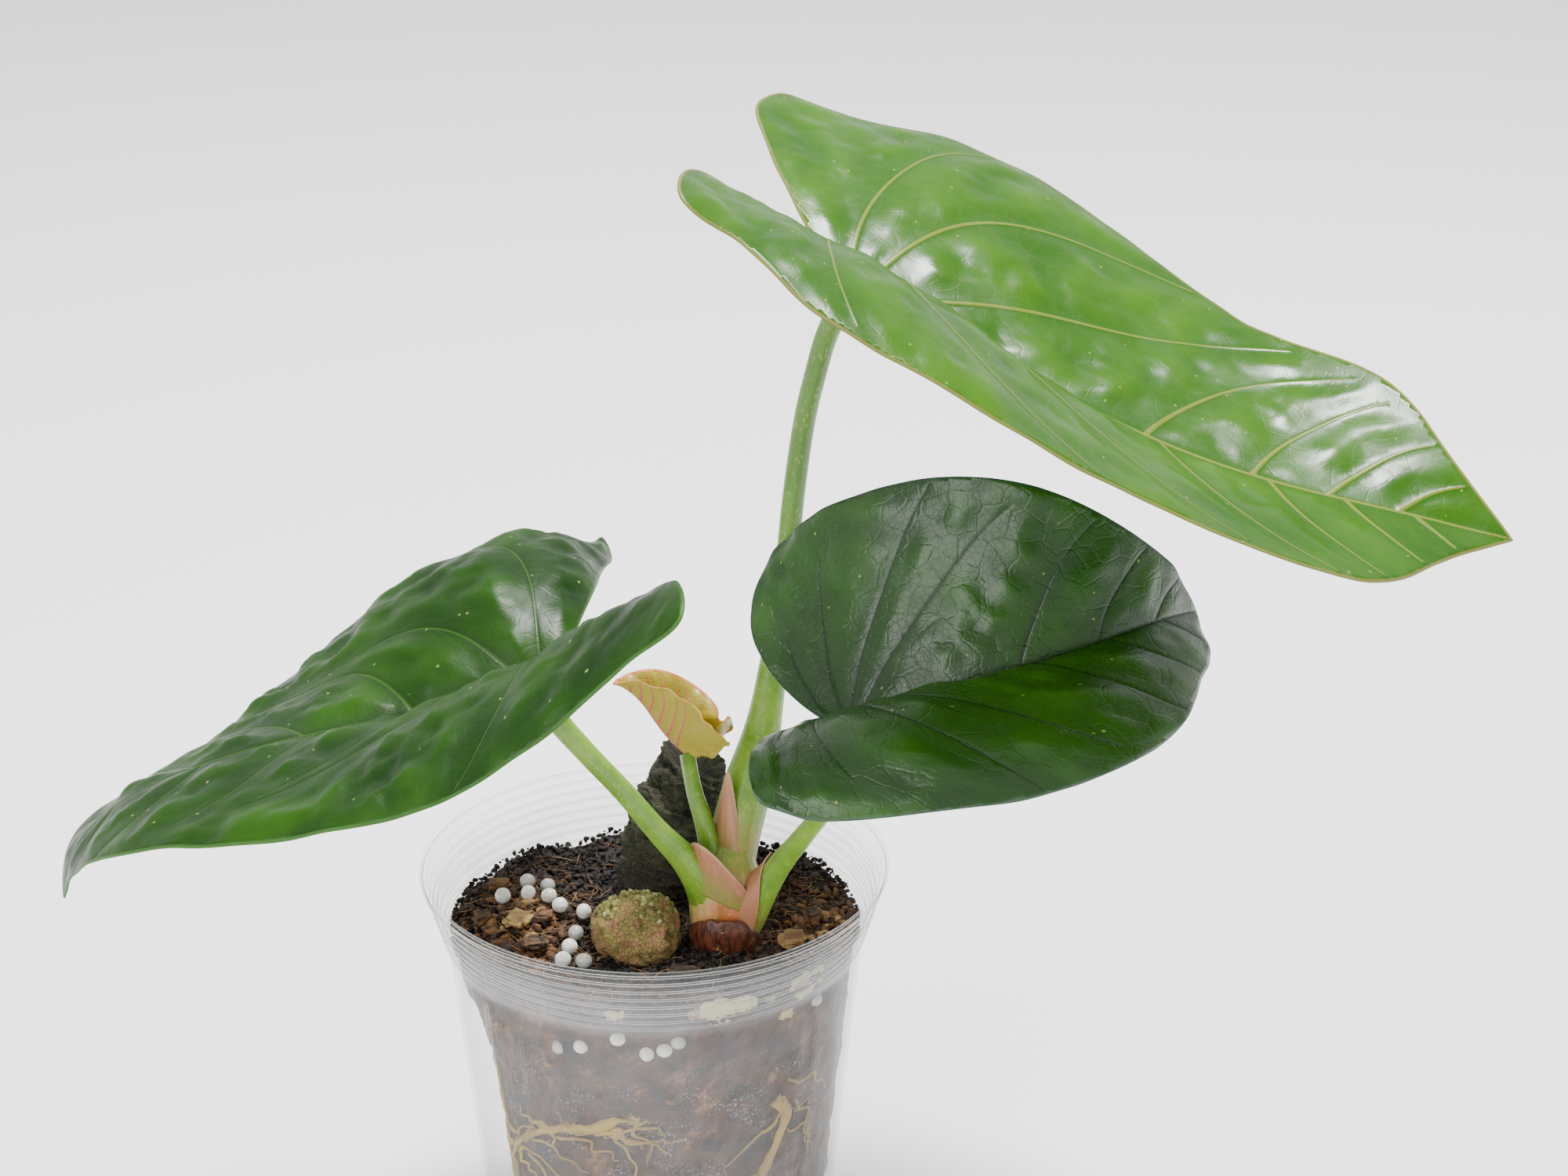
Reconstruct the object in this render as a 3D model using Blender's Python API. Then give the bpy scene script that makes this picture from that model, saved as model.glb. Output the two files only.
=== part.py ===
"""A four-leaved potted anthurium in a clear nursery pot, in metres with +Z up.

The origin is the middle of the pot's underside. Everything that grows is placed from the soil's
middle, so a taller pot or a deeper fill carries the whole plant with it. Lengths are metres, and
points along stems and roots are millimetres from the soil's middle (x, y, height over the soil).
"""

import math

import bmesh
import bpy
import numpy as np
from mathutils import Matrix, Vector, noise

# ---- the pot ----
POT_HEIGHT = 0.095
POT_BASE_R = 0.0372
POT_SHOULDER_R = 0.0450
POT_RIM_R = 0.0500
POT_WALL = 0.0009
POT_FLOOR = 0.0014
COLLAR_HEIGHT = 0.0160
RIB_COUNT = 5
RIB_DEPTH = 0.0005
LIP_HEIGHT = 0.0014
LIP_DEPTH = 0.0008
BASE_EDGE = 0.0012
DRAIN_COUNT = 8
DRAIN_R = 0.0032
DRAIN_RING_R = 0.0265
POT_SIDES = 36

# ---- the fill ----
SOIL_BELOW_RIM = 0.0150
SOIL_BUMP = 0.0016
SOIL_BUMP_SCALE = 95.0
SOIL_RINGS = (1.0, 0.86, 0.70, 0.54, 0.38, 0.20)
MOUND_AT = (-0.027, 0.001)
MOUND_HEIGHT = 0.0028
MOUND_REACH = 0.013
HOLLOW_AT = (-0.010, 0.030)
HOLLOW_DEPTH = 0.0022
HOLLOW_REACH = 0.013
BEAD_R = 0.00185
GAP = 0.0003

# ---- the plant ----
BLADE = 0.0008
MEMBRANE = 0.0006
ROOT_R = 0.0015
RHIZOME_R = 0.0090
CORM_R = 0.0092
CORM_AT = (-3.2, -11.0, 3.6)
CROWN_R = 0.0062
SCALE_OFF_CROWN = 0.0016
SHEATH_OFF_CROWN = 0.0012
PETIOLE_FOOT_R = 0.0033
PETIOLE_R = 0.00235
YOUNG_PETIOLE_R = 0.0019

SOIL_Z = POT_HEIGHT - SOIL_BELOW_RIM

# Each blade: where the petiole meets it, its lengths in mm, and its bend at stations along the midrib
# (lobe end, junction, then the shares in "stations", then the tip). Pitch falls, heading turns from
# +X towards +Y, roll lifts the left half. Fold is how far each half rises at the midrib and curl how
# far it turns further over one half width, all in degrees. "full" widens the outline's five middle
# points as shares of the half width, from the tip back to the lobe.
BLADES = {
    "top": {
        "junction": (41.4, 6.4, 138.2), "length": 141, "half_width": 72,
        "lobes": (43, 44), "lobe_spread": (43, 42), "stations": (0.4, 0.75),
        "pitch": (50, 23, 21, 11, 16), "heading": (-14, -14, -17, -8, 0), "roll": (-9, -12, -11, 4, 23),
        "fold": ((15, 44, 28, 22, 22), (28, 40, 12, 1, -1)),
        "curl": ((-5, -35, -10, 5, 10), (-45, -70, -25, -5, -10)),
        "full": ((0.17, 0.46, 0.67, 0.93, 0.93), (0.12, 0.41, 0.67, 0.96, 0.87)),
    },
    "left": {
        "junction": (-20.8, -19.9, 61.7), "length": 116, "half_width": 64,
        "lobes": (25, 23), "lobe_spread": (59, 61), "stations": (0.45, 0.8),
        "pitch": (6, 6, 10, 40, 84), "heading": (191, 185, 190, 180, 177), "roll": (18, -4, -2, -3, -16),
        "fold": ((62, 66, 14, -1, -5), (19, 49, -6, -10, 7)),
        "curl": ((-75, -90, -25, -5, 0), (0, -80, -15, -5, -10)),
        "full": ((0.11, 0.30, 0.65, 0.91, 1.05), (0.16, 0.18, 0.65, 1.02, 1.02)),
    },
    "right": {
        "junction": (41.0, -30.7, 59.9), "length": 88, "half_width": 49,
        "lobes": (20, 20), "lobe_spread": (27, 30), "stations": (0.35, 0.7),
        "pitch": (-4, -29, -14, -1, 19), "heading": (0, -6, 8, 38, 63), "roll": (-2, -4, 9, 28, 42),
        "fold": ((36, 44, 44, 41, 37), (54, 52, 36, 16, -4)),
        "curl": ((-5, 0, 5, 15, 15), (-95, -110, -90, -65, -40)),
        "full": ((0.15, 0.33, 0.70, 0.90, 0.98), (0.20, 0.32, 0.65, 0.94, 0.93)),
    },
    "young": {
        "junction": (7.9, 0.0, 39.6), "length": 24, "half_width": 14,
        "lobes": (4, 4), "lobe_spread": (7, 7), "stations": (0.5,),
        "pitch": (-36, -39, -59, -32), "heading": (181, 180, 183, 192), "roll": (2, -8, 1, 5),
        "fold": ((62, 62, 62, 64), (75, 88, 75, 67)), "curl": ((-5, 0, -5, 5), (0, 20, 0, 0)),
        "full": ((0.13, 0.36, 0.70, 0.93, 0.87), (0.18, 0.45, 0.76, 0.91, 0.86)),
    },
}
BLADE_RAYS = 23
BLADE_RINGS = 4

# Each petiole's route, from its socket in the crown to just past its blade, with its radii.
PETIOLES = {
    "top": (
        [(20.4, -1.8, 10), (21.2, -0.6, 24), (25.3, 4.0, 44), (26.6, 10.5, 60), (28.2, 13.8, 76),
         (30.0, 14.2, 95), (33.6, 12.2, 118), (38.9, 8.4, 135), (42.4, 6.2, 142)],
        (PETIOLE_FOOT_R, PETIOLE_FOOT_R, PETIOLE_R, PETIOLE_R, PETIOLE_R * 0.95), 20,
    ),
    "left": (
        [(12.6, -8.8, 6), (8.7, -10.2, 16.7), (3.1, -12.2, 26), (-4.7, -15.0, 38.5),
         (-12.5, -18.0, 49), (-18.2, -19.6, 57), (-22.2, -20.0, 64)],
        (PETIOLE_FOOT_R, PETIOLE_FOOT_R, PETIOLE_R, PETIOLE_R, PETIOLE_R * 0.95), 14,
    ),
    "right": (
        [(21.6, -9.6, 3), (24.6, -10.6, 11), (28.0, -12.4, 20), (32.8, -17.4, 30),
         (38.4, -24.8, 43), (40.4, -29.6, 54), (41.4, -31.4, 63)],
        (PETIOLE_R * 1.1, PETIOLE_R * 1.1, PETIOLE_R, PETIOLE_R * 0.9, PETIOLE_R * 0.85), 14,
    ),
    "young": (
        [(14.8, -4.9, 13), (13.6, -5.3, 25), (11.2, -4.0, 32), (9.2, -1.8, 36), (7.6, 0.2, 42)],
        (YOUNG_PETIOLE_R, YOUNG_PETIOLE_R, YOUNG_PETIOLE_R, YOUNG_PETIOLE_R * 0.9), 9,
    ),
}
PETIOLE_SIDES = 8

# The old rhizome leans from its foot in the soil to its broken top; the crown is the new shoot's base.
RHIZOME_ROUTE = [(-0.4, 15.2, -8), (0.0, 15.4, 2), (2.2, 15.4, 10), (5.6, 15.2, 19), (9.4, 15.0, 31)]
RHIZOME_SHARES = (1.02, 1.0, 1.06, 1.0, 0.82)
CROWN_ROUTE = [(16.4, -6.4, -5), (16.6, -6.2, 1), (17.2, -5.4, 9), (17.8, -4.4, 17)]
CROWN_SHARES = (0.80, 1.0, 1.08, 0.92)

# Roots leave the crown's foot, cross the fill and then follow the wall. A start is a place under the
# crown and one in the fill, and a wall stretch is bearings round the pot in degrees with heights in mm
# over the pot's underside.
ROOT_STARTS = {
    "root_1": [(14.6, -10.0), (4.0, -24.0, -13)],
    "root_2": [(19.6, -8.9), (23.0, -25.0, -10)],
    "root_3": [(19.8, -4.4), (31.0, 14.0, -12)],
    "root_4": [(12.4, -6.2), (-18.0, 6.0, -16)],
    "root_5": [(15.4, -2.6), (10.0, 24.0, -16)],
}
ROOT_WALLS = {
    "root_1": [(-92, 60), (-104, 53), (-118, 50), (-133, 44), (-148, 34)],
    "root_2": [(-58, 63), (-46, 52), (-52, 38), (-66, 27), (-82, 18), (-100, 12)],
    "root_3": [(38, 58), (56, 44), (76, 34), (98, 22)],
    "root_4": [(168, 55), (184, 42), (203, 30), (222, 16)],
    "root_5": [(78, 56), (96, 46), (118, 38), (140, 20)],
}
ROOT_SIDES = 6
ROOT_CLEAR = 0.0004

BEADS = [
    (-33.3, 4.1), (-27.8, 4.4), (-23.9, 9.2), (-23.2, 3.2), (-20.6, -0.4), (-15.4, -1.6), (-16.6, -10.2),
    (-17.6, -15.8), (-14.2, -22.4), (-18.6, -21.6), (-28.4, 10.6), (27.0, 20.0),
]
# Chips of bark and coir: place, length, width, thickness in mm, and turn in degrees.
CHIPS = [
    (-34.6, 11.4, 5.0, 3.2, 1.6, 25), (-37.0, -3.4, 5.0, 3.0, 1.6, 110), (-29.2, -6.4, 6.0, 3.6, 1.8, 65),
    (-24.0, -4.6, 4.4, 2.8, 1.5, 10), (-25.2, -14.0, 5.0, 3.2, 1.6, 140), (7.0, -24.4, 6.5, 3.4, 1.8, 15),
    (29.6, -10.6, 6.4, 3.6, 1.8, 60), (34.0, 1.8, 5.0, 3.4, 1.6, 100), (4.0, 33.0, 6.0, 3.4, 1.6, 20),
]
CHIP_BEVEL = 0.0003


# ---- shared ways of working ----


def clear_scene():
    for thing in list(bpy.data.objects):
        bpy.data.objects.remove(thing, do_unlink=True)


def finish(name, colour, roughness, alpha=1.0):
    """A Principled material of one plain colour."""
    made = bpy.data.materials.get(name) or bpy.data.materials.new(name)
    made.use_nodes = True
    shader = made.node_tree.nodes["Principled BSDF"]
    shader.inputs["Base Color"].default_value = (*colour, 1.0)
    shader.inputs["Roughness"].default_value = roughness
    shader.inputs["Metallic"].default_value = 0.0
    shader.inputs["Alpha"].default_value = alpha
    return made


def add_object(name, mesh_maker, material, smooth_angle=40.0, loose=None):
    """Turns a bmesh into a named object that hangs from the loose parent, if one is given."""
    bmesh.ops.recalc_face_normals(mesh_maker, faces=mesh_maker.faces[:])
    mesh = bpy.data.meshes.new(name)
    mesh_maker.to_mesh(mesh)
    mesh_maker.free()
    mesh.materials.append(material)
    mesh.shade_smooth()
    mesh.set_sharp_from_angle(angle=math.radians(smooth_angle))
    made = bpy.data.objects.new(name, mesh)
    bpy.context.scene.collection.objects.link(made)
    made.parent = loose
    return made


def hide_cutter(cutter):
    cutter.hide_render = True
    cutter.display_type = "WIRE"
    return cutter


def carve(target, cutter):
    """Leaves room in the target for whatever the cutter stands for."""
    cut = target.modifiers.new("room_for_" + cutter.name, "BOOLEAN")
    cut.operation = "DIFFERENCE"
    cut.solver = "EXACT"
    cut.object = hide_cutter(cutter)


def metres(point):
    """A plant point, in mm from the soil's middle, as metres from that middle."""
    return Vector(point) * 0.001


def eased(places, values, at):
    """Smooth reading of values given at rising places (cubic, with the slope of their neighbours)."""
    places = np.asarray(places, float)
    values = np.asarray(values, float)
    at = np.clip(at, places[0], places[-1])
    slopes = np.zeros(len(places))
    rise = np.diff(values) / np.diff(places)
    near, far = np.diff(places)[:-1], np.diff(places)[1:]
    slopes[1:-1] = (rise[1:] * near + rise[:-1] * far) / (near + far)
    slopes[0], slopes[-1] = rise[0], rise[-1]
    low = np.clip(np.searchsorted(places, at, side="right") - 1, 0, len(places) - 2)
    span = places[low + 1] - places[low]
    t = (at - places[low]) / span
    start = (2 * t**3 - 3 * t**2 + 1) * values[low] + (t**3 - 2 * t**2 + t) * span * slopes[low]
    end = (3 * t**2 - 2 * t**3) * values[low + 1] + (t**3 - t**2) * span * slopes[low + 1]
    return start + end


def eased_route(points, count):
    """count points evenly along a smooth curve through the given points."""
    points = np.array([tuple(p) for p in points], float)
    steps = np.linalg.norm(np.diff(points, axis=0), axis=1)
    along = np.concatenate([[0.0], np.cumsum(steps)]) / steps.sum()
    at = np.linspace(0.0, 1.0, count)
    return np.stack([eased(along, points[:, k], at) for k in range(points.shape[1])], -1)


def tube(points, radii, rings, sides, grow=0.0):
    """A closed tube along a smooth route, its radius eased between the given radii."""
    route = [Vector(p) for p in eased_route(points, rings)]
    shares = np.linspace(0.0, 1.0, len(radii))
    sizes = eased(shares, radii, np.linspace(0.0, 1.0, rings)) + grow
    heads = [(route[min(i + 1, rings - 1)] - route[max(i - 1, 0)]).normalized() for i in range(rings)]
    if grow:
        route[0] = route[0] - heads[0] * grow
        route[-1] = route[-1] + heads[-1] * grow
    maker = bmesh.new()
    across = heads[0].orthogonal().normalized()
    loops = []
    for place, head, size in zip(route, heads, sizes):
        across = (across - head * across.dot(head)).normalized()
        beside = head.cross(across)
        turns = [2 * math.pi * k / sides for k in range(sides)]
        loops.append(
            [maker.verts.new(place + (across * math.cos(a) + beside * math.sin(a)) * float(size)) for a in turns]
        )
    for low, high in zip(loops[:-1], loops[1:]):
        for k in range(sides):
            maker.faces.new((low[k], low[(k + 1) % sides], high[(k + 1) % sides], high[k]))
    maker.faces.new(loops[0][::-1])
    maker.faces.new(loops[-1])
    return maker


def turned(profile, sides):
    """A solid of revolution from an outline that starts and ends on the axis."""
    maker = bmesh.new()
    loops = []
    for radius, height in profile:
        if radius == 0.0:
            loops.append([maker.verts.new((0.0, 0.0, height))])
            continue
        turns = [2 * math.pi * k / sides for k in range(sides)]
        loops.append([maker.verts.new((radius * math.cos(a), radius * math.sin(a), height)) for a in turns])
    for low, high in zip(loops[:-1], loops[1:]):
        for k in range(sides):
            nxt = (k + 1) % sides
            if len(low) == 1:
                maker.faces.new((low[0], high[k], high[nxt]))
            elif len(high) == 1:
                maker.faces.new((low[k], high[0], low[nxt]))
            else:
                maker.faces.new((low[k], high[k], high[nxt], low[nxt]))
    return maker


# ---- the pot ----


def wall_radius(height):
    """The pot's inner radius at a height over its underside."""
    shoulder = POT_HEIGHT - COLLAR_HEIGHT
    if height <= shoulder:
        return POT_BASE_R + (POT_SHOULDER_R - POT_BASE_R) * height / shoulder - POT_WALL
    return POT_SHOULDER_R + (POT_RIM_R - POT_SHOULDER_R) * (height - shoulder) / COLLAR_HEIGHT - POT_WALL


def pot_profile():
    shoulder = POT_HEIGHT - COLLAR_HEIGHT
    lip_bottom = POT_HEIGHT - LIP_HEIGHT
    outline = [(0.0, 0.0), (POT_BASE_R - BASE_EDGE, 0.0), (POT_BASE_R, BASE_EDGE)]
    outline.append((POT_SHOULDER_R, shoulder))
    pitch = (lip_bottom - shoulder) / RIB_COUNT
    for rib in range(RIB_COUNT):
        crest = shoulder + pitch * (rib + 0.35)
        valley = shoulder + pitch * (rib + 1)
        outline.append((wall_radius(crest) + POT_WALL + RIB_DEPTH, crest))
        outline.append((wall_radius(valley) + POT_WALL, valley))
    outline.append((POT_RIM_R + LIP_DEPTH * 0.5, lip_bottom + LIP_HEIGHT * 0.3))
    outline.append((POT_RIM_R + LIP_DEPTH * 0.3, POT_HEIGHT))
    outline.append((wall_radius(POT_HEIGHT), POT_HEIGHT))
    outline.append((wall_radius(shoulder), shoulder))
    outline.append((wall_radius(POT_FLOOR), POT_FLOOR))
    outline.append((0.0, POT_FLOOR))
    return outline


def build_pot():
    clear = finish("clear_plastic", (0.86, 0.90, 0.90), 0.12, 0.3)
    pot = add_object("pot", turned(pot_profile(), POT_SIDES), clear, 25.0)
    drains = bmesh.new()
    for k in range(DRAIN_COUNT):
        turn = 2 * math.pi * (k + 0.5) / DRAIN_COUNT
        place = Matrix.Translation(
            (DRAIN_RING_R * math.cos(turn), DRAIN_RING_R * math.sin(turn), POT_FLOOR / 2)
        )
        bmesh.ops.create_cone(
            drains, cap_ends=True, segments=12, radius1=DRAIN_R, radius2=DRAIN_R, depth=POT_FLOOR * 3,
            matrix=place,
        )
    carve(pot, add_object("drain_cutter", drains, clear))


# ---- the fill ----


def soil_height(x, y):
    """Height of the fill's top over the pot's underside, smooth enough for its coarse facets."""
    bump = noise.noise(Vector((x * SOIL_BUMP_SCALE, y * SOIL_BUMP_SCALE, 3.7))) * SOIL_BUMP
    mound = math.hypot(x - MOUND_AT[0], y - MOUND_AT[1]) / MOUND_REACH
    hollow = math.hypot(x - HOLLOW_AT[0], y - HOLLOW_AT[1]) / HOLLOW_REACH
    return SOIL_Z + bump + MOUND_HEIGHT * math.exp(-mound**2) - HOLLOW_DEPTH * math.exp(-hollow**2)


def wall_reach(turn):
    """Radius and height where the fill's top meets the wall on one bearing."""
    height = SOIL_Z
    for _ in range(4):
        radius = wall_radius(height) - GAP
        height = soil_height(radius * math.cos(turn), radius * math.sin(turn))
    return radius, height


def build_mix(soil):
    """The fill: a plug that follows the wall, with an uneven top."""
    dark = finish("potting_mix", (0.055, 0.032, 0.020), 0.95)
    maker = bmesh.new()
    turns = [2 * math.pi * k / POT_SIDES for k in range(POT_SIDES)]
    shoulder = POT_HEIGHT - COLLAR_HEIGHT
    floor = POT_FLOOR + GAP
    base = maker.verts.new((0.0, 0.0, floor))
    loops = []
    for height in (floor, floor + (shoulder - floor) * 0.5):
        radius = wall_radius(height) - GAP
        loops.append([maker.verts.new((radius * math.cos(a), radius * math.sin(a), height)) for a in turns])
    heights = [wall_reach(a)[1] for a in turns]
    lowest = [min(heights[k - 1], heights[k], heights[(k + 1) % POT_SIDES]) for k in range(POT_SIDES)]
    reach = [wall_radius(height) - GAP for height in lowest]
    below = [min(shoulder, height - GAP * 2) for height in lowest]
    loops.append(
        [
            maker.verts.new(((wall_radius(z) - GAP) * math.cos(a), (wall_radius(z) - GAP) * math.sin(a), z))
            for a, z in zip(turns, below)
        ]
    )
    for share in SOIL_RINGS:
        ring = []
        for a, radius in zip(turns, reach):
            x, y = radius * share * math.cos(a), radius * share * math.sin(a)
            ring.append(maker.verts.new((x, y, soil_height(x, y))))
        loops.append(ring)
    peak = maker.verts.new((0.0, 0.0, soil_height(0.0, 0.0)))
    for k in range(POT_SIDES):
        nxt = (k + 1) % POT_SIDES
        maker.faces.new((base, loops[0][nxt], loops[0][k]))
        maker.faces.new((peak, loops[-1][k], loops[-1][nxt]))
        for low, high in zip(loops[:-1], loops[1:]):
            maker.faces.new((low[k], low[nxt], high[nxt], high[k]))
    mix = add_object("potting_mix", maker, dark, 60.0)
    for cutter in soil:
        carve(mix, cutter)


def ground_under(x, y, reach):
    """The highest fill within reach of a point, where a loose piece comes to rest."""
    spots = [(x, y)]
    for k in range(8):
        turn = math.pi * k / 4
        spots.append((x + reach * math.cos(turn), y + reach * math.sin(turn)))
    return max(soil_height(*spot) for spot in spots)


def build_beads():
    pearl = finish("fertiliser_bead", (0.82, 0.80, 0.74), 0.35)
    ball = bmesh.new()
    bmesh.ops.create_icosphere(ball, subdivisions=2, radius=BEAD_R)
    first = add_object("fertiliser_bead_1", ball, pearl)
    for number, (x, y) in enumerate(BEADS, start=1):
        bead = first
        if number > 1:
            bead = bpy.data.objects.new(f"fertiliser_bead_{number}", first.data)
            bpy.context.scene.collection.objects.link(bead)
        rest = ground_under(x * 0.001, y * 0.001, BEAD_R) + BEAD_R + GAP
        bead.location = (x * 0.001, y * 0.001, rest)


def build_chips():
    bark = finish("bark", (0.20, 0.11, 0.06), 0.9)
    for number, (x, y, length, width, thickness, turn) in enumerate(CHIPS, start=1):
        maker = bmesh.new()
        bmesh.ops.create_cube(maker, size=1.0)
        bmesh.ops.scale(maker, vec=(length * 0.001, width * 0.001, thickness * 0.001), verts=maker.verts)
        for corner in maker.verts:
            if corner.co.z > 0:
                corner.co.x *= 0.78
                corner.co.y *= 0.70
        chip = add_object(f"bark_chip_{number}", maker, bark, 30.0)
        bevel = chip.modifiers.new("worn_edges", "BEVEL")
        bevel.width = CHIP_BEVEL
        bevel.segments = 1
        rest = ground_under(x * 0.001, y * 0.001, length * 0.0005) + thickness * 0.0005 + GAP
        chip.location = (x * 0.001, y * 0.001, rest)
        chip.rotation_euler = (0.0, 0.0, math.radians(turn))


# ---- leaves ----


def half_outline(leaf, side, count):
    """Flat outline of one half in metres: a runs towards the tip, b outwards from the midrib."""
    length, width = leaf["length"], leaf["half_width"]
    lobe, spread = leaf["lobes"][side], leaf["lobe_spread"][side]
    full = leaf["full"][side]
    points = [
        (length, 0.0), (0.92 * length, full[0] * width), (0.80 * length, full[1] * width),
        (0.55 * length, full[2] * width), (0.26 * length, full[3] * width), (0.0, width),
        (-0.55 * lobe, full[4] * width), (-0.93 * lobe, spread + 0.26 * width),
        (-lobe, spread + 0.06 * width), (-0.86 * lobe, spread - 0.10 * width),
        (-0.50 * lobe, spread * 0.40), (-0.02 * length, 0.01 * length),
    ]
    return eased_route(points, count) * 0.001


class BentBlade:
    """Carries flat blade points onto the bent, folded and curled surface of one leaf."""

    SAMPLES = 240

    def __init__(self, leaf):
        self.leaf = leaf
        length = leaf["length"] * 0.001
        lobe = max(leaf["lobes"]) * 0.001
        self.knots = [-lobe, 0.0, *[share * length for share in leaf["stations"]], length]
        self.along = np.linspace(-1.05 * lobe, 1.02 * length, self.SAMPLES)
        pitch, head, roll = (
            np.radians(eased(self.knots, leaf[key], self.along)) for key in ("pitch", "heading", "roll")
        )
        self.forward = np.stack(
            [np.cos(pitch) * np.cos(head), np.cos(pitch) * np.sin(head), -np.sin(pitch)], -1
        )
        level = np.stack([-np.sin(head), np.cos(head), np.zeros_like(head)], -1)
        up = np.cross(self.forward, level)
        cosine, sine = np.cos(roll)[:, None], np.sin(roll)[:, None]
        self.left = level * cosine + up * sine
        self.up = up * cosine - level * sine
        steps = (self.forward[1:] + self.forward[:-1]) / 2 * (self.along[1] - self.along[0])
        spine = np.concatenate([[[0.0, 0.0, 0.0]], np.cumsum(steps, axis=0)])
        self.spine = spine - self.read(spine, 0.0) + np.array(metres(leaf["junction"]))

    def read(self, rows, at):
        return np.array([np.interp(at, self.along, rows[:, k]) for k in range(3)])

    def place(self, a, b):
        """A point a along the midrib and b out to the left (right if negative)."""
        side = 0 if b >= 0 else 1
        fold = math.radians(eased(self.knots, self.leaf["fold"][side], a))
        curl = math.radians(eased(self.knots, self.leaf["curl"][side], a))
        curl = curl / (self.leaf["half_width"] * 0.001)
        reach = abs(b)
        if abs(curl) < 1e-4:
            out, rise = reach * math.cos(fold), reach * math.sin(fold)
        else:
            out = (math.sin(fold + curl * reach) - math.sin(fold)) / curl
            rise = (math.cos(fold) - math.cos(fold + curl * reach)) / curl
        sign = 1 if b >= 0 else -1
        here = self.read(self.spine, a)
        return Vector(here + self.read(self.left, a) * sign * out + self.read(self.up, a) * rise)

    def upward(self):
        """The blade's upper side at the junction, which is what a petiole's top is trimmed to."""
        return Vector(self.read(self.up, 0.0)).normalized()


def build_blade(name, colour, roughness, plant):
    """A thin closed sheet: rays fan out from the junction to the outline, both halves."""
    leaf = BLADES[name]
    bent = BentBlade(leaf)
    maker = bmesh.new()
    middle = maker.verts.new(bent.place(0.0, 0.0))
    spine_line = None
    for side, sign in ((0, 1), (1, -1)):
        outline = half_outline(leaf, side, BLADE_RAYS)
        lines = []
        for ray, (a, b) in enumerate(outline):
            if ray == 0 and spine_line:
                lines.append(spine_line)
                continue
            line = []
            for ring in range(1, BLADE_RINGS + 1):
                share = ring / BLADE_RINGS
                line.append(maker.verts.new(bent.place(a * share, sign * b * share if ray else 0.0)))
            lines.append(line)
        spine_line = lines[0]
        for one, two in zip(lines[:-1], lines[1:]):
            maker.faces.new((middle, one[0], two[0]) if side == 0 else (middle, two[0], one[0]))
            for ring in range(BLADE_RINGS - 1):
                corners = (one[ring], one[ring + 1], two[ring + 1], two[ring])
                maker.faces.new(corners if side == 0 else corners[::-1])
    material = finish("blade_" + name, colour, roughness)
    blade = add_object("blade_" + name, maker, material, 80.0, plant)
    thick = blade.modifiers.new("thickness", "SOLIDIFY")
    thick.thickness = BLADE
    thick.offset = 0.0
    thick.use_rim = True
    return bent


def build_petiole(name, bent, plant, colour):
    """A stalk from its socket in the crown, trimmed flush just under its blade."""
    route, radii, rings = PETIOLES[name]
    points = [metres(p) for p in route]
    maker = tube(points, radii, rings, PETIOLE_SIDES)
    upward = bent.upward()
    under = metres(bent.leaf["junction"]) - upward * (BLADE / 2 + GAP)
    geometry = maker.verts[:] + maker.edges[:] + maker.faces[:]
    cut = bmesh.ops.bisect_plane(maker, geom=geometry, plane_co=under, plane_no=upward, clear_outer=True)
    rim = [e for e in cut["geom_cut"] if isinstance(e, bmesh.types.BMEdge)]
    bmesh.ops.contextual_create(maker, geom=rim)
    stalk = add_object("petiole_" + name, maker, finish("petiole", colour, 0.45), 50.0, plant)
    room = tube(points[:4], radii[:2], 9, PETIOLE_SIDES, grow=GAP)
    return stalk, add_object("petiole_room_" + name, room, stalk.data.materials[0], 50.0, plant)


# ---- stems, sheaths and roots ----


def shaped_tube(name, route, size, shares, rings, sides, material, plant, grow=0.0):
    maker = tube([metres(p) for p in route], [size * s for s in shares], rings, sides, grow)
    return add_object(name, maker, material, 50.0, plant)


def build_rhizome(plant):
    """The old stem: ringed with scars, broken off and hollowed at the top."""
    bark = finish("old_rhizome", (0.045, 0.035, 0.025), 0.9)
    shares = []
    for step, share in enumerate(np.repeat(RHIZOME_SHARES, 2)):
        shares.append(share * (1.05 if step % 2 else 0.95))
    rhizome = shaped_tube("old_rhizome", RHIZOME_ROUTE, RHIZOME_R, shares, 14, 14, bark, plant)
    top = max(v.co.z for v in rhizome.data.vertices)
    for number, corner in enumerate(rhizome.data.vertices):
        if corner.co.z > top - RHIZOME_R * 0.55:
            corner.co.z += RHIZOME_R * 0.16 * math.sin(number * 2.4)
    room = shaped_tube("rhizome_room", RHIZOME_ROUTE[:3], RHIZOME_R, (1.1, 1.1, 1.1), 6, 14, bark, plant, GAP)
    return room


def lump(radius, grow):
    maker = bmesh.new()
    bmesh.ops.create_uvsphere(maker, u_segments=16, v_segments=10, radius=1.0)
    for corner in maker.verts:
        swell = 1.0 + 0.07 * noise.noise(corner.co * 1.6)
        corner.co = corner.co * (radius * swell + grow)
        corner.co.z *= 0.94
    return maker


def build_corm(plant):
    """The rounded mossy lump beside the old stem, a third sunk in the fill."""
    moss = finish("mossy_corm", (0.30, 0.27, 0.12), 0.95)
    corm = add_object("corm", lump(CORM_R, 0.0), moss, 60.0, plant)
    room = add_object("corm_room", lump(CORM_R, GAP), moss, 60.0, plant)
    corm.location = room.location = metres(CORM_AT)
    return room


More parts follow.
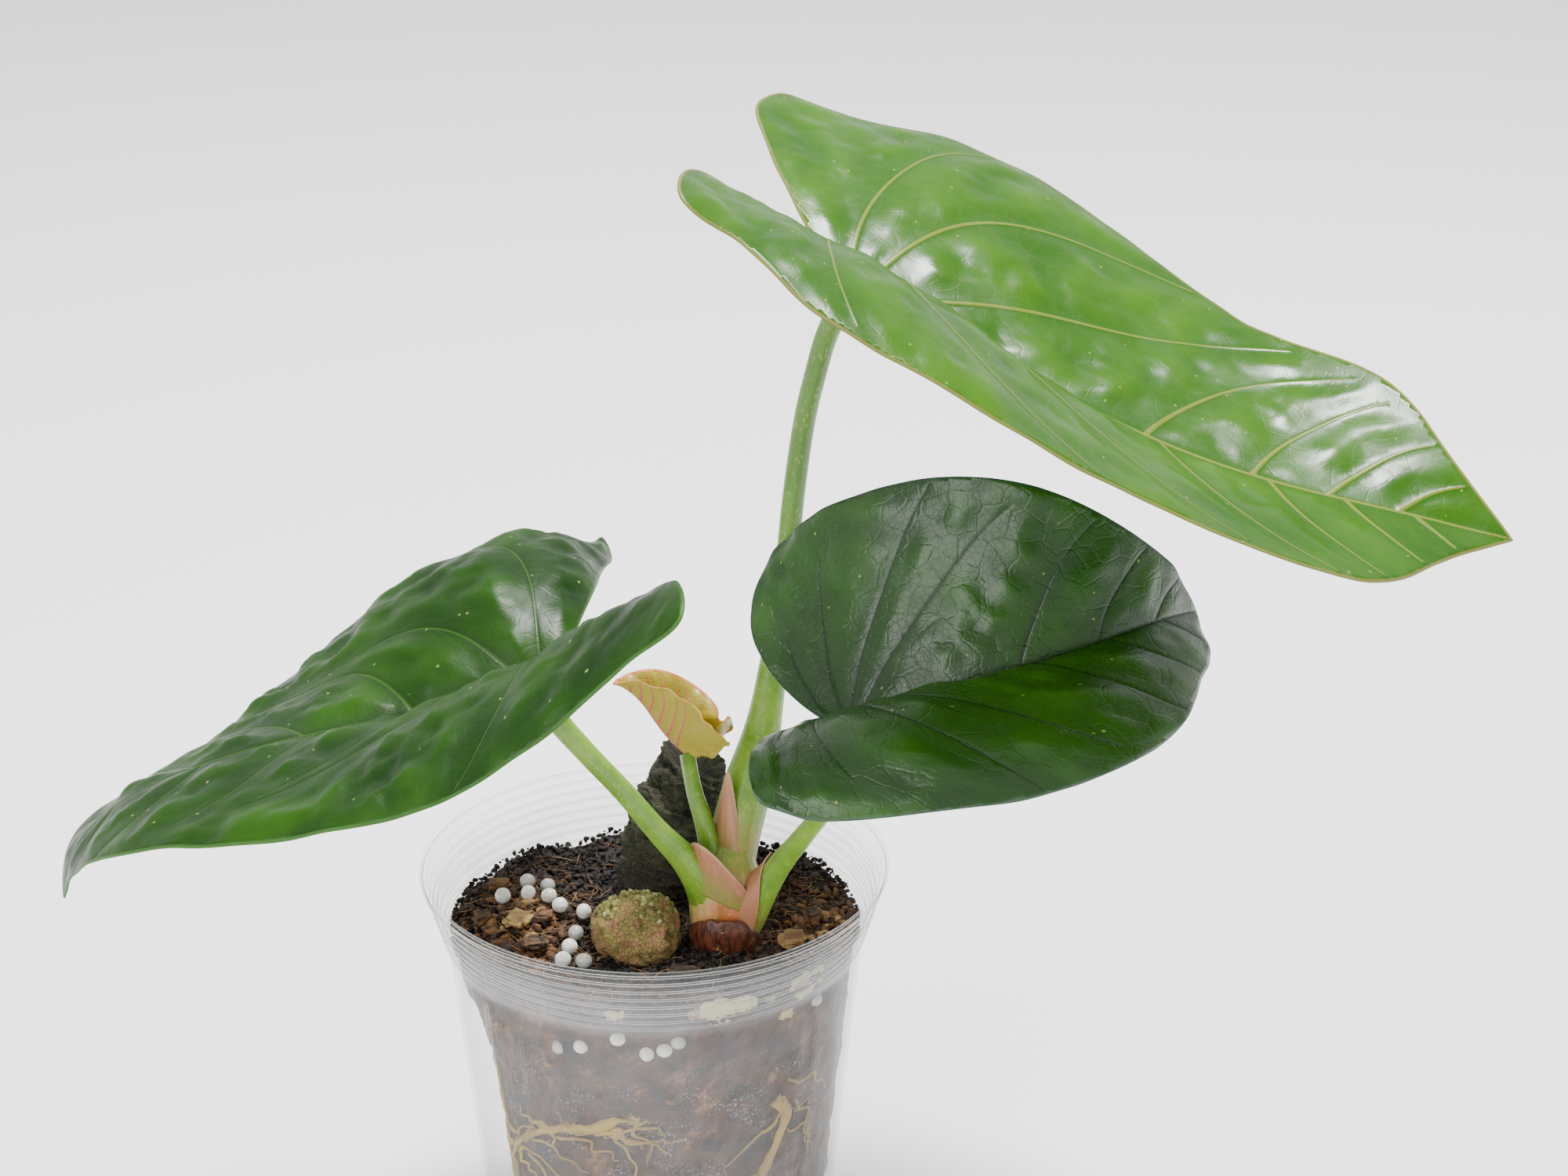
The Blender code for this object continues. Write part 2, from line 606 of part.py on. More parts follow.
def build_crown(plant, petiole_rooms):
    """The new shoot's swollen base, with a socket for each petiole."""
    flesh = finish("crown", (0.62, 0.42, 0.14), 0.5)
    crown = shaped_tube("crown", CROWN_ROUTE, CROWN_R, CROWN_SHARES, 9, 16, flesh, plant)
    for room in petiole_rooms:
        carve(crown, room)
    return shaped_tube("crown_room", CROWN_ROUTE[:3], CROWN_R, CROWN_SHARES[:3], 7, 16, flesh, plant, GAP)


def membrane(centre, radii, bearings, low, rise, steps=9, levels=3):
    """A curved scale: a strip round a centre, from a level foot to a bowed upper edge."""
    maker = bmesh.new()
    columns = []
    for step in range(steps):
        share = step / (steps - 1)
        turn = math.radians(bearings[0] + (bearings[1] - bearings[0]) * share)
        height = rise * (0.25 + 0.75 * math.sin(math.pi * share) ** 0.8)
        column = []
        for level in range(levels):
            up = level / (levels - 1)
            radius = radii[0] + (radii[1] - radii[0]) * up
            place = Vector((radius * math.cos(turn), radius * math.sin(turn), low + height * up))
            column.append(maker.verts.new(metres(centre) + place))
        columns.append(column)
    for one, two in zip(columns[:-1], columns[1:]):
        for level in range(levels - 1):
            maker.faces.new((one[level], two[level], two[level + 1], one[level + 1]))
    return maker


def add_membrane(name, material, plant, thickness, **shape):
    scale = add_object(name, membrane(**shape), material, 80.0, plant)
    thick = scale.modifiers.new("thickness", "SOLIDIFY")
    thick.thickness = thickness
    thick.offset = 0.0
    return scale


def build_scales(plant):
    """The papery brown scale round the crown's foot and the pink sheath edges above it."""
    papery = finish("papery_scale", (0.16, 0.06, 0.035), 0.5)
    pink = finish("sheath", (0.62, 0.40, 0.30), 0.45)
    foot = {
        "centre": (18.0, -7.2, 0.0), "bearings": (-158, -44), "low": -0.0010, "rise": 0.0042,
        "radii": (CROWN_R + SCALE_OFF_CROWN, CROWN_R + SCALE_OFF_CROWN + 0.0004),
    }
    add_membrane("basal_scale", papery, plant, MEMBRANE, **foot)
    foot_room = dict(foot, low=foot["low"] - 2 * GAP, bearings=(-166, -36))
    room = add_membrane("basal_scale_room", papery, plant, MEMBRANE + 3 * GAP, **foot_room)
    front = {
        "centre": (17.6, -5.0, 0.0), "bearings": (-116, -63), "low": 0.0105, "rise": 0.0080,
        "radii": (CROWN_R + SHEATH_OFF_CROWN, CROWN_R + SHEATH_OFF_CROWN + 0.0008),
    }
    add_membrane("sheath_front", pink, plant, MEMBRANE, **front)
    side = {
        "centre": (17.4, -5.0, 0.0), "bearings": (-22, 30), "low": 0.0040, "rise": 0.0120,
        "radii": (CROWN_R + SHEATH_OFF_CROWN + 0.0004, CROWN_R + SHEATH_OFF_CROWN + 0.0014),
    }
    add_membrane("sheath_right", pink, plant, MEMBRANE, **side)
    spear = {
        "centre": (21.4, -0.6, 0.0), "radii": (0.0050, 0.0047), "bearings": (-215, -110),
        "low": 0.0215, "rise": 0.0150,
    }
    add_membrane("sheath_spear", pink, plant, MEMBRANE, **spear)
    return room


def root_reach(height):
    """How far from the pot's middle a root's centre can lie, clear of the wall's flat facets."""
    return wall_radius(height) * math.cos(math.pi / POT_SIDES) - GAP - ROOT_R


def root_route(name, rings):
    """Points from under the crown to the wall and then down along it, in metres over the soil."""
    (x, y), inner = ROOT_STARTS[name]
    crown_foot = CROWN_ROUTE[0][2] * 0.001
    points = [Vector((x * 0.001, y * 0.001, crown_foot - ROOT_R - ROOT_CLEAR)), metres(inner)]
    for bearing, height in ROOT_WALLS[name]:
        over_base = height * 0.001
        turn = math.radians(bearing)
        reach = root_reach(over_base)
        points.append(Vector((reach * math.cos(turn), reach * math.sin(turn), over_base - SOIL_Z)))
    route = [Vector(p) for p in eased_route(points, rings)]
    for place in route:
        flat = math.hypot(place.x, place.y)
        inside = min(1.0, root_reach(place.z + SOIL_Z) / flat)
        place.x, place.y = place.x * inside, place.y * inside
    return route


def build_roots(plant):
    cream = finish("root", (0.66, 0.56, 0.30), 0.6)
    rooms = []
    for name in ROOT_STARTS:
        rings = 6 + 4 * len(ROOT_WALLS[name])
        points = root_route(name, rings)
        radii = (ROOT_R, ROOT_R, ROOT_R * 0.95, ROOT_R * 0.6)
        add_object(name, tube(points, radii, rings, ROOT_SIDES), cream, 70.0, plant)
        room = tube(points, radii, rings, ROOT_SIDES, grow=GAP)
        rooms.append(add_object(name + "_room", room, cream, 70.0, plant))
    return rooms


def build_plant():
    plant = bpy.data.objects.new("plant_on_soil", None)
    bpy.context.scene.collection.objects.link(plant)
    plant.location = (0.0, 0.0, SOIL_Z)
    looks = {
        "top": ((0.12, 0.36, 0.03), 0.3), "left": ((0.03, 0.13, 0.02), 0.35),
        "right": ((0.03, 0.14, 0.02), 0.28), "young": ((0.62, 0.50, 0.14), 0.4),
    }
    rooms = []
    for name, (colour, roughness) in looks.items():
        bent = build_blade(name, colour, roughness, plant)
        _, room = build_petiole(name, bent, plant, (0.30, 0.50, 0.12))
        rooms.append(room)
    sunk = [build_crown(plant, rooms), build_rhizome(plant), build_corm(plant), build_scales(plant)]
    return sunk + build_roots(plant)


clear_scene()
build_pot()
build_mix(build_plant())
build_beads()
build_chips()
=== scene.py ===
"""A potted anthurium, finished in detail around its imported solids. Metres, +Z up.

The sections follow the plant as it is potted: the table it stands on, the pot, the fill and what lies
on it, the roots, the old stem, the crown with its scales, the stalks, and last the leaf blades.
"""

import math

import bmesh
import bpy
import numpy as np
from mathutils import Matrix, Vector, geometry, kdtree, noise


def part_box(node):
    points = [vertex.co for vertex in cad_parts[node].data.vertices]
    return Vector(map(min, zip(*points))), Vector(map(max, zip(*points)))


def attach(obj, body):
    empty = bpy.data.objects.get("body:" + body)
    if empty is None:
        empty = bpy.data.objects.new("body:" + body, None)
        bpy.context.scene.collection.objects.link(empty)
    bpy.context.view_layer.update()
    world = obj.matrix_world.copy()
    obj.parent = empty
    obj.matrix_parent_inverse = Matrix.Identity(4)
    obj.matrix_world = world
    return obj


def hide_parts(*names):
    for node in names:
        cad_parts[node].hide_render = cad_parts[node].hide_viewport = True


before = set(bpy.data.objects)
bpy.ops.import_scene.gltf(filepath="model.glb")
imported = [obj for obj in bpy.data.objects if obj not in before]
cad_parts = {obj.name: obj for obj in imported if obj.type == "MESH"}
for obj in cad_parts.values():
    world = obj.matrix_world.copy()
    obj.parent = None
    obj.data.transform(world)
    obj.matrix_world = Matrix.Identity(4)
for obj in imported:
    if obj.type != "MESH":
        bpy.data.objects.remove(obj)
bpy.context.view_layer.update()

# ---- the table, the light and the camera ----
# The plant stands on a pale, level, matt table that runs out of view. A small softbox high up behind it
# puts the sheen on the blades, a wide weaker one fills in from the front left, and the room is pale.
TABLE_SIZE = 8.0
TABLE_WHITE = (0.93, 0.93, 0.93, 1.0)
TABLE_GREY = (0.90, 0.90, 0.90, 1.0)
ROOM_WHITE = (1.0, 1.0, 1.0, 1.0)
ROOM_STRENGTH = 1.05
PLANT_MIDDLE = Vector((0.02, 0.0, 0.15))
# Each softbox: its place, its side length and its watts.
SOFTBOXES = {
    "overhead_softbox": ((0.27, 0.26, 1.46), 0.30, 50.0),
    "front_softbox": ((-0.9, -1.1, 0.9), 1.2, 22.0),
}
CAMERA_PLACE = (0.02778, -0.59985, 0.40651)
CAMERA_TILT = math.radians(67.5)
LENS_MM, SENSOR_MM = 72.0, 36.0


class Recipe:
    """Places and joins the nodes of one finish, or of an effect that several finishes share."""

    def __init__(self, tree):
        self.tree = tree

    def feed(self, socket, value):
        if isinstance(value, bpy.types.NodeSocket):
            self.tree.links.new(value, socket)
        else:
            socket.default_value = value

    def add(self, kind, inputs=None, **settings):
        node = self.tree.nodes.new("ShaderNode" + kind)
        for key, value in settings.items():
            setattr(node, key, value)
        for socket, value in (inputs or {}).items():
            self.feed(node.inputs[socket], value)
        return node

    def noise(self, place, scale, detail=3.0, roughness=0.5, lumpy=0.0):
        found = {"Vector": place, "Scale": scale, "Detail": detail, "Roughness": roughness}
        found["Distortion"] = lumpy
        return self.add("TexNoise", found).outputs["Fac"]

    def cells(self, place, scale, feature="F1"):
        return self.add("TexVoronoi", {"Vector": place, "Scale": scale}, feature=feature)

    def stretch(self, value, low, high, to_low=0.0, to_high=1.0, smooth=True):
        inputs = {"Value": value, "From Min": low, "From Max": high, "To Min": to_low, "To Max": to_high}
        kind = "SMOOTHSTEP" if smooth else "LINEAR"
        return self.add("MapRange", inputs, interpolation_type=kind).outputs["Result"]

    def math(self, kind, one, two=0.0):
        return self.add("Math", {0: one, 1: two}, operation=kind).outputs[0]

    def times(self, one, two):
        return self.math("MULTIPLY", one, two)

    def plus(self, one, two):
        return self.math("ADD", one, two)

    def minus(self, one, two):
        return self.math("SUBTRACT", one, two)

    def stretched(self, place, by):
        """The place with its three axes scaled, for a grain that runs one way."""
        return self.add("Mapping", {0: place, 3: by}).outputs[0]

    def mix(self, share, low, high):
        return self.add("Mix", {0: share, 6: low, 7: high}, data_type="RGBA").outputs[2]

    def blend(self, share, low, high):
        return self.add("Mix", {0: share, 2: low, 3: high}, data_type="FLOAT").outputs[0]

    def layers(self, value, colour, *bands):
        """A colour that turns into the next one over each (low, high, colour) band of a value."""
        for low, high, other in bands:
            colour = self.mix(self.stretch(value, low, high), colour, other)
        return colour

    def attribute(self, name, kind="Fac"):
        return self.add("Attribute", attribute_name=name).outputs[kind]

    def toned(self, grain, amount):
        """The mesh's own tone, broken up by a grain."""
        return self.plus(self.attribute("tone"), self.times(self.minus(grain, 0.5), amount))

    def local(self):
        return self.add("TexCoord").outputs["Object"]

    def bump(self, height, depth, strength=1.0):
        return self.add("Bump", {"Height": height, "Distance": depth, "Strength": strength}).outputs["Normal"]


class Finish(Recipe):
    """A material with one Principled shader. Plain values go straight onto the shader."""

    def __init__(self, name, **plain):
        self.material = bpy.data.materials.new(name)
        self.material.use_nodes = True
        super().__init__(self.material.node_tree)
        self.shader = self.tree.nodes["Principled BSDF"]
        self.shade(**plain)

    def shade(self, **values):
        for key, value in values.items():
            self.feed(self.shader.inputs[key.replace("_", " ").replace("Ior", "IOR")], value)


def make_table():
    half = TABLE_SIZE / 2
    mesh = bpy.data.meshes.new("table")
    corners = [(-half, -half, 0), (half, -half, 0), (half, half, 0), (-half, half, 0)]
    mesh.from_pydata(corners, [], [(0, 1, 2, 3)])
    table = bpy.data.objects.new("table", mesh)
    bpy.context.scene.collection.objects.link(table)
    matt = Finish("matt_white_table", Roughness=0.9)
    soft = matt.noise(matt.local(), 2.0, 2.0)
    matt.shade(Base_Color=matt.mix(soft, TABLE_WHITE, TABLE_GREY))
    mesh.materials.append(matt.material)


def aim(thing, at):
    thing.rotation_euler = (at - thing.location).to_track_quat("-Z", "Y").to_euler()


def light_room():
    for name, (place, size, watts) in SOFTBOXES.items():
        lamp = bpy.data.lights.new(name, "AREA")
        lamp.size, lamp.energy = size, watts
        softbox = bpy.data.objects.new(name, lamp)
        bpy.context.scene.collection.objects.link(softbox)
        softbox.location = place
        aim(softbox, PLANT_MIDDLE)
    room = bpy.data.worlds.new("pale_room")
    bpy.context.scene.world = room
    room.use_nodes = True
    room.node_tree.nodes["Background"].inputs["Color"].default_value = ROOM_WHITE
    room.node_tree.nodes["Background"].inputs["Strength"].default_value = ROOM_STRENGTH


def set_camera():
    lens = bpy.data.cameras.new("camera")
    lens.lens, lens.sensor_width = LENS_MM, SENSOR_MM
    camera = bpy.data.objects.new("camera", lens)
    bpy.context.scene.collection.objects.link(camera)
    camera.location = CAMERA_PLACE
    camera.rotation_euler = (CAMERA_TILT, 0.0, 0.0)
    bpy.context.scene.camera = camera


make_table()
light_room()
set_camera()

# ---- the pot ----
# A thin nursery pot of clear moulded plastic: a plain tapered body, a flared collar with rounded rings
# that stiffen it, a rolled lip, and a flat underside with drain holes. Damp hazes the collar, and fine
# drops cling to the inside of the body.
POT_WALL = 0.0008
WALL_SLACK = 0.0001
POT_FLOOR = 0.0014
COLLAR_HEIGHT = 0.0160
POT_BASE_R = 0.0372
POT_SHOULDER_R = 0.0450
RING_COUNT = 7
RING_DEPTH = 0.00060
SEAM_BEARINGS = (-141, -128, -44, -37, 20, 95, 150)
SEAM_DEPTH = 0.00035
SEAM_SPREAD = 1.1
POT_SEGMENTS = 240
LIP_DROP = 0.0012
# The foot's and the lip's rounded edges: the distance from the wall's radius, and the height.
POT_FOOT = ((-0.0060, 0.0004), (-0.0045, 0.0), (-0.0012, 0.0), (-0.0003, 0.0003))
POT_LIP = ((0.0006, -0.0010), (0.0006, -0.0003), (0.0002, 0.0))
DRAIN_COUNT = 8
DRAIN_R = 0.0032
DRAIN_RING_R = 0.0265
DRAIN_SIDES = 40
GAP = 0.0003
# How much each thing veils the plastic: damp below and on the collar, drops, ring lines painted as a pale
# highlight, seams, and the wall seen squarely, at a slant and edge on, where it gets a painted dark outline.
DAMP_VEILS = (0.06, 0.20)
DROP_VEIL, RING_HIGHLIGHT_VEIL, SEAM_VEIL = 0.34, 0.42, 0.30
SQUARE_VEIL, SLANT_VEIL, EDGE_SHADE_VEIL = 0.030, 0.34, 0.40
DROP_CELLS = 1300.0
CLEAR_WHITE = (0.96, 0.97, 0.98, 1.0)
DAMP_GREY = (0.72, 0.72, 0.73, 1.0)
# The grey of the painted dark outline where the wall is seen edge on.
EDGE_SHADE_GREY = (0.34, 0.35, 0.38, 1.0)

POT_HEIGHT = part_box("pot")[1].z
POT_RIM_R = 0.0500
SOIL_Z = POT_HEIGHT - 0.0150


def piece(name, mesh, material, *nodes, slot=None):
    """Links a finished mesh, rides it on the plant's one body, and hides the nodes that it stands for."""
    mesh.materials.append(material)
    mesh.shade_smooth()
    made = bpy.data.objects.new(name, mesh)
    bpy.context.scene.collection.objects.link(made)
    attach(made, "root")
    if nodes:
        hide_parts(*nodes)
    return made


def mesh_from(name, points, faces, **tones):
    """A mesh from points and faces, with one named value or vector for each point."""
    mesh = bpy.data.meshes.new(name)
    mesh.from_pydata([tuple(p) for p in points], [], [tuple(int(i) for i in f) for f in faces])
    for tone, values in tones.items():
        values = np.asarray(values, np.float32)
        kind, field = ("FLOAT", "value") if values.ndim == 1 else ("FLOAT_VECTOR", "vector")
        mesh.attributes.new(tone, kind, "POINT").data.foreach_set(field, values.ravel())
    mesh.update()
    return mesh


def between(bearing, other):
    """The turn from one bearing to another, -180 to 180 degrees."""
    return (bearing - other + 180.0) % 360.0 - 180.0


def wall_radius(height):
    """The pot's inner radius at a height over the table."""
    shoulder = POT_HEIGHT - COLLAR_HEIGHT
    height = np.asarray(height, float)
    body = POT_BASE_R + (POT_SHOULDER_R - POT_BASE_R) * height / shoulder
    collar = POT_SHOULDER_R + (POT_RIM_R - POT_SHOULDER_R) * (height - shoulder) / COLLAR_HEIGHT
    return np.where(height <= shoulder, body, collar) - POT_WALL - WALL_SLACK


def ring_swell(height):
    """How far the collar's rings stand out at a height."""
    low, high = POT_HEIGHT - COLLAR_HEIGHT, POT_HEIGHT - LIP_DROP
    share = np.clip((height - low) / (high - low), 0.0, 1.0) * RING_COUNT
    crest = np.abs(np.sin(np.pi * share)) ** 0.6
    return RING_DEPTH * crest * ((share > 0.0) & (share < RING_COUNT))


def join_rings(rings):
    """Faces between neighbouring rings of point numbers. A ring may be one point, repeated."""
    faces = []
    for low, high in zip(rings[:-1], rings[1:]):
        for k in range(len(low)):
            n = (k + 1) % len(low)
            faces.append(tuple(dict.fromkeys((low[k], low[n], high[n], high[k]))))
    return faces


def drained_floor(under_ring, upper_ring):
    """The floor inside two rings of points: two level sheets joined by the walls of the drain holes."""
    flat = [Vector(p[:2]) for p in under_ring]
    count, edges = len(flat), [(k, (k + 1) % len(flat)) for k in range(len(flat))]
    centres = []
    for number in range(DRAIN_COUNT):
        turn = 2 * math.pi * (number + 0.5) / DRAIN_COUNT
        centres.append(Vector((DRAIN_RING_R * math.cos(turn), DRAIN_RING_R * math.sin(turn))))
        first = len(flat)
        for side in range(DRAIN_SIDES):
            a = 2 * math.pi * side / DRAIN_SIDES
            flat.append(centres[-1] + Vector((math.cos(a), math.sin(a))) * DRAIN_R)
            edges.append((first + side, first + (side + 1) % DRAIN_SIDES))
    found = geometry.delaunay_2d_cdt(flat, edges, [], 0, 1e-7)
    corners = [Vector(v) for v in found[0]]
    sheet = []
    for face in found[2]:
        middle = sum((corners[k] for k in face), Vector((0.0, 0.0))) / len(face)
        if all((middle - centre).length > DRAIN_R * 0.99 for centre in centres):
            sheet.append(list(face))
    points = [(v.x, v.y, under_ring[0][2]) for v in corners] + [(v.x, v.y, upper_ring[0][2]) for v in corners]
    faces = [face[::-1] for face in sheet] + [[k + len(corners) for k in face] for face in sheet]
    faces += [[one, two, two + len(corners), one + len(corners)] for one, two in edges[count:]]
    return points, faces


def build_pot():
    shoulder = POT_HEIGHT - COLLAR_HEIGHT
    body = np.linspace(LIP_DROP, shoulder, 40)[:-1]
    heights = np.concatenate([body, np.linspace(shoulder, POT_HEIGHT - LIP_DROP, 73)])
    outer = [(POT_BASE_R + out, height) for out, height in POT_FOOT]
    for height in heights:
        outer.append((float(wall_radius(height) + POT_WALL + ring_swell(height)), float(height)))
    rim = float(wall_radius(POT_HEIGHT)) + POT_WALL
    outer += [(rim + out, POT_HEIGHT + height) for out, height in POT_LIP]
    inner = [(rim - POT_WALL, POT_HEIGHT)]
    for height in heights[::-1]:
        inner.append((float(wall_radius(height) + ring_swell(height) * 0.6), float(height)))
    inner += [(float(wall_radius(POT_FLOOR)), POT_FLOOR), (POT_BASE_R + POT_FOOT[0][0], POT_FLOOR)]
    profile = outer + inner
    turns = np.linspace(0.0, 2 * np.pi, POT_SEGMENTS, endpoint=False)
    seam = np.zeros(POT_SEGMENTS)
    for bearing in SEAM_BEARINGS:
        seam += np.exp(-((between(np.degrees(turns), bearing) / SEAM_SPREAD) ** 2))
    points, rings, seams = [], [], []
    for radius, height in profile:
        on_wall = 1.0 if POT_FLOOR * 2 < height < shoulder - 0.002 else 0.0
        spread = radius + seam * SEAM_DEPTH * on_wall
        rings.append(list(range(len(points), len(points) + POT_SEGMENTS)))
        points += [(r * math.cos(a), r * math.sin(a), height) for r, a in zip(spread, turns)]
        seams += list(seam * on_wall)
    faces = join_rings(rings)
    holed_points, holed_faces = drained_floor([points[k] for k in rings[0]], [points[k] for k in rings[-1]])
    faces += [[k + len(points) for k in face] for face in holed_faces]
    return mesh_from("pot", points + holed_points, faces, seam=seams + [0.0] * len(holed_points))


def clear_plastic():
    """Clear where it is dry and faced squarely, and veiled by damp, drops, ring lines painted as a pale
    highlight, and a painted dark outline where the wall is edge on.
    """
    clear = Finish("clear_moulded_plastic", Roughness=0.08, Coat_Weight=0.3, Coat_Roughness=0.04)
    place = clear.local()
    height = clear.add("SeparateXYZ", {0: place}).outputs["Z"]
    damp = clear.stretch(height, POT_HEIGHT - 0.001, POT_HEIGHT - 0.012)
    cloud = clear.stretch(clear.noise(place, 60.0, 5.0, 0.6), 0.3, 0.75, 0.45, 1.0)
    edge = clear.add("LayerWeight", {"Blend": 0.35}).outputs["Facing"]
    drops = clear.stretch(clear.cells(place, DROP_CELLS).outputs["Distance"], 0.30, 0.16)
    drops = clear.times(drops, clear.stretch(clear.noise(place, 130.0, 3.0), 0.48, 0.62))
    low = clear.stretch(height, SOIL_Z - 0.006, SOIL_Z - 0.020)
    collar = POT_HEIGHT - COLLAR_HEIGHT
    collar_haze = clear.stretch(height, collar - 0.003, collar, *DAMP_VEILS)
    haze = clear.times(clear.times(damp, cloud), collar_haze)
    haze = clear.plus(haze, clear.times(clear.times(drops, low), DROP_VEIL))
    # Pale opaque lines at the rings' grooves: a painted highlight on the collar's rings.
    pitch = (COLLAR_HEIGHT - LIP_DROP) / RING_COUNT
    turn = clear.math("FRACT", clear.math("DIVIDE", clear.minus(height, collar), pitch))
    groove = clear.stretch(clear.math("ABSOLUTE", clear.minus(turn, 0.5)), 0.425, 0.48)
    line = clear.times(groove, clear.stretch(height, collar - 0.0004, collar))
    veil = clear.plus(haze, clear.stretch(edge, 0.35, 1.0, SQUARE_VEIL, SLANT_VEIL))
    # Edge on, the wall gets a painted dark outline: a denser veil here and a grey colour below.
    veil = clear.plus(veil, clear.stretch(edge, 0.88, 0.98, 0.0, EDGE_SHADE_VEIL))
    veil = clear.plus(veil, clear.times(line, RING_HIGHLIGHT_VEIL))
    moulded = clear.stretch(clear.attribute("seam"), 0.70, 0.95)
    veil = clear.plus(veil, clear.times(moulded, SEAM_VEIL))
    scratch = clear.noise(clear.stretched(place, (90.0, 90.0, 900.0)), 6.0, 2.0)
    colour = clear.mix(damp, CLEAR_WHITE, DAMP_GREY)
    # Painted shade: the dark outline's grey where the wall is seen edge on.
    colour = clear.mix(clear.stretch(edge, 0.80, 0.97, 0.0, 0.8), colour, EDGE_SHADE_GREY)
    rough = clear.blend(damp, 0.07, 0.22)
    clear.shade(Base_Color=colour, Alpha=veil, Roughness=rough, Normal=clear.bump(scratch, 0.00002))
    return clear.material


piece("pot_shell", build_pot(), clear_plastic(), "pot", slot="clear_plastic")

# ---- the potting mix ----
# Damp bark and coir, black at the back and middle, darkened there as painted shade, and rusty where the coir
# lies open and painted light falls on it. It follows the wall, and loose crumbs and hairs of coir lie all
# over its top.
MIX_SEGMENTS = 220
MIX_RINGS = 64
MIX_SIDE_RINGS = 90
SIDE_INSET, SIDE_DENT, SIDE_GRAIN = 0.0009, 0.0008, 0.0004
TOP_INSET, SIDE_STOP = 0.0004, 0.0016
SOIL_BUMP = 0.0016
SOIL_BUMP_SCALE = 95.0
MOUND_AT, MOUND_HEIGHT, MOUND_REACH = (-0.027, 0.001), 0.0028, 0.013
HOLLOW_AT, HOLLOW_DEPTH, HOLLOW_REACH = (-0.010, 0.030), 0.0022, 0.013
# Where the fill has dried back from the wall: bearing and spread in degrees, depth, top and fade.
SHRUNK_BEARING, SHRUNK_SPREAD = 190.0, 26.0
SHRUNK_DEPTH, SHRUNK_TOP, SHRUNK_FADE = 0.0052, 0.073, 0.022
CRUMB_COUNT = 7600
WALL_CRUMB_COUNT = 520
# A crumb's smallest size, and what chance and open coir add to it.
CRUMB_LEAST, CRUMB_CHANCE, CRUMB_COIR = 0.00026, 0.0007, 0.0007
HAIR_COUNT = 620
HAIR_R = 0.00009
MIX_BLACK = (0.010, 0.007, 0.006, 1.0)
MIX_BROWN = (0.062, 0.026, 0.012, 1.0)
COIR_RUST = (0.24, 0.105, 0.038, 1.0)
COIR_STRAW = (0.44, 0.28, 0.12, 1.0)


def soil_height(x, y):
    bump = noise.noise(Vector((x * SOIL_BUMP_SCALE, y * SOIL_BUMP_SCALE, 3.7))) * SOIL_BUMP
    mound = math.hypot(x - MOUND_AT[0], y - MOUND_AT[1]) / MOUND_REACH
    hollow = math.hypot(x - HOLLOW_AT[0], y - HOLLOW_AT[1]) / HOLLOW_REACH
    return SOIL_Z + bump + MOUND_HEIGHT * math.exp(-mound**2) - HOLLOW_DEPTH * math.exp(-hollow**2)


def crumbly(x, y):
    """Fine ups and downs of the top."""
    coarse = noise.noise(Vector((x, y, 0.4)) * 420.0) * 0.0007
    return coarse + noise.noise(Vector((x, y, 0.9)) * 1300.0) * 0.0003


def open_and_lit(x, y):
    """Where dry coir lies open and painted light falls: 0 at the back and middle, left in painted shade, 1 at
    the left front and the right.
    """
    left = math.exp(-(((x + 0.031) / 0.014) ** 2) - ((y + 0.006) / 0.022) ** 2)
    right = math.exp(-(((x - 0.036) / 0.013) ** 2) - ((y + 0.002) / 0.022) ** 2)
    front = math.exp(-(((y + 0.036) / 0.010) ** 2)) * 0.35
    return min(1.0, left + right + front + 0.06)


def shrunk(bearing, height):
    """How far the fill has drawn back from the wall, at a bearing in degrees and a height."""
    spread = math.exp(-((between(bearing, SHRUNK_BEARING) / SHRUNK_SPREAD) ** 2))
    return SHRUNK_DEPTH * spread * min(1.0, max(0.0, (SHRUNK_TOP - height) / SHRUNK_FADE))


def build_mix():
    turns = np.linspace(0.0, 2 * np.pi, MIX_SEGMENTS, endpoint=False)
    points, rings, tone = [], [], []
    floor = POT_FLOOR + GAP
    side = np.linspace(floor, SOIL_Z - SIDE_STOP, MIX_SIDE_RINGS)
    points.append((0.0, 0.0, floor))
    tone.append(0.1)
    rings.append([0] * MIX_SEGMENTS)
    for height in side:
        ring = []
        for a in turns:
            x, y = math.cos(a), math.sin(a)
            dent = noise.noise(Vector((x * 9.0, y * 9.0, height * 210.0)))
            fine = noise.noise(Vector((x * 34.0, y * 34.0, height * 800.0)))
            radius = float(wall_radius(height)) - GAP - SIDE_INSET - SIDE_DENT * dent - SIDE_GRAIN * fine
            radius -= shrunk(math.degrees(a), height)
            ring.append(len(points))
            points.append((radius * x, radius * y, height))
            tone.append(0.34 + 0.35 * dent + 0.35 * fine)
        rings.append(ring)
    for step in range(MIX_RINGS):
        share = 1.0 - (step / MIX_RINGS) ** 1.15
        ring = []
        for a in turns:
            radius = (float(wall_radius(SOIL_Z)) - GAP - TOP_INSET) * share
            x, y = radius * math.cos(a), radius * math.sin(a)
            ring.append(len(points))
            points.append((x, y, soil_height(x, y) + crumbly(x, y) - 0.0004))
            # The top's tone: darker at the back and middle as painted shade, paler where the coir lies open
            # as painted light.
            tone.append(0.12 + 0.25 * open_and_lit(x, y))
        rings.append(ring)
    rings.append([len(points)] * MIX_SEGMENTS)
    points.append((0.0, 0.0, soil_height(0.0, 0.0)))
    tone.append(0.1)
    return mesh_from("potting_mix", points, join_rings(rings), tone=tone)


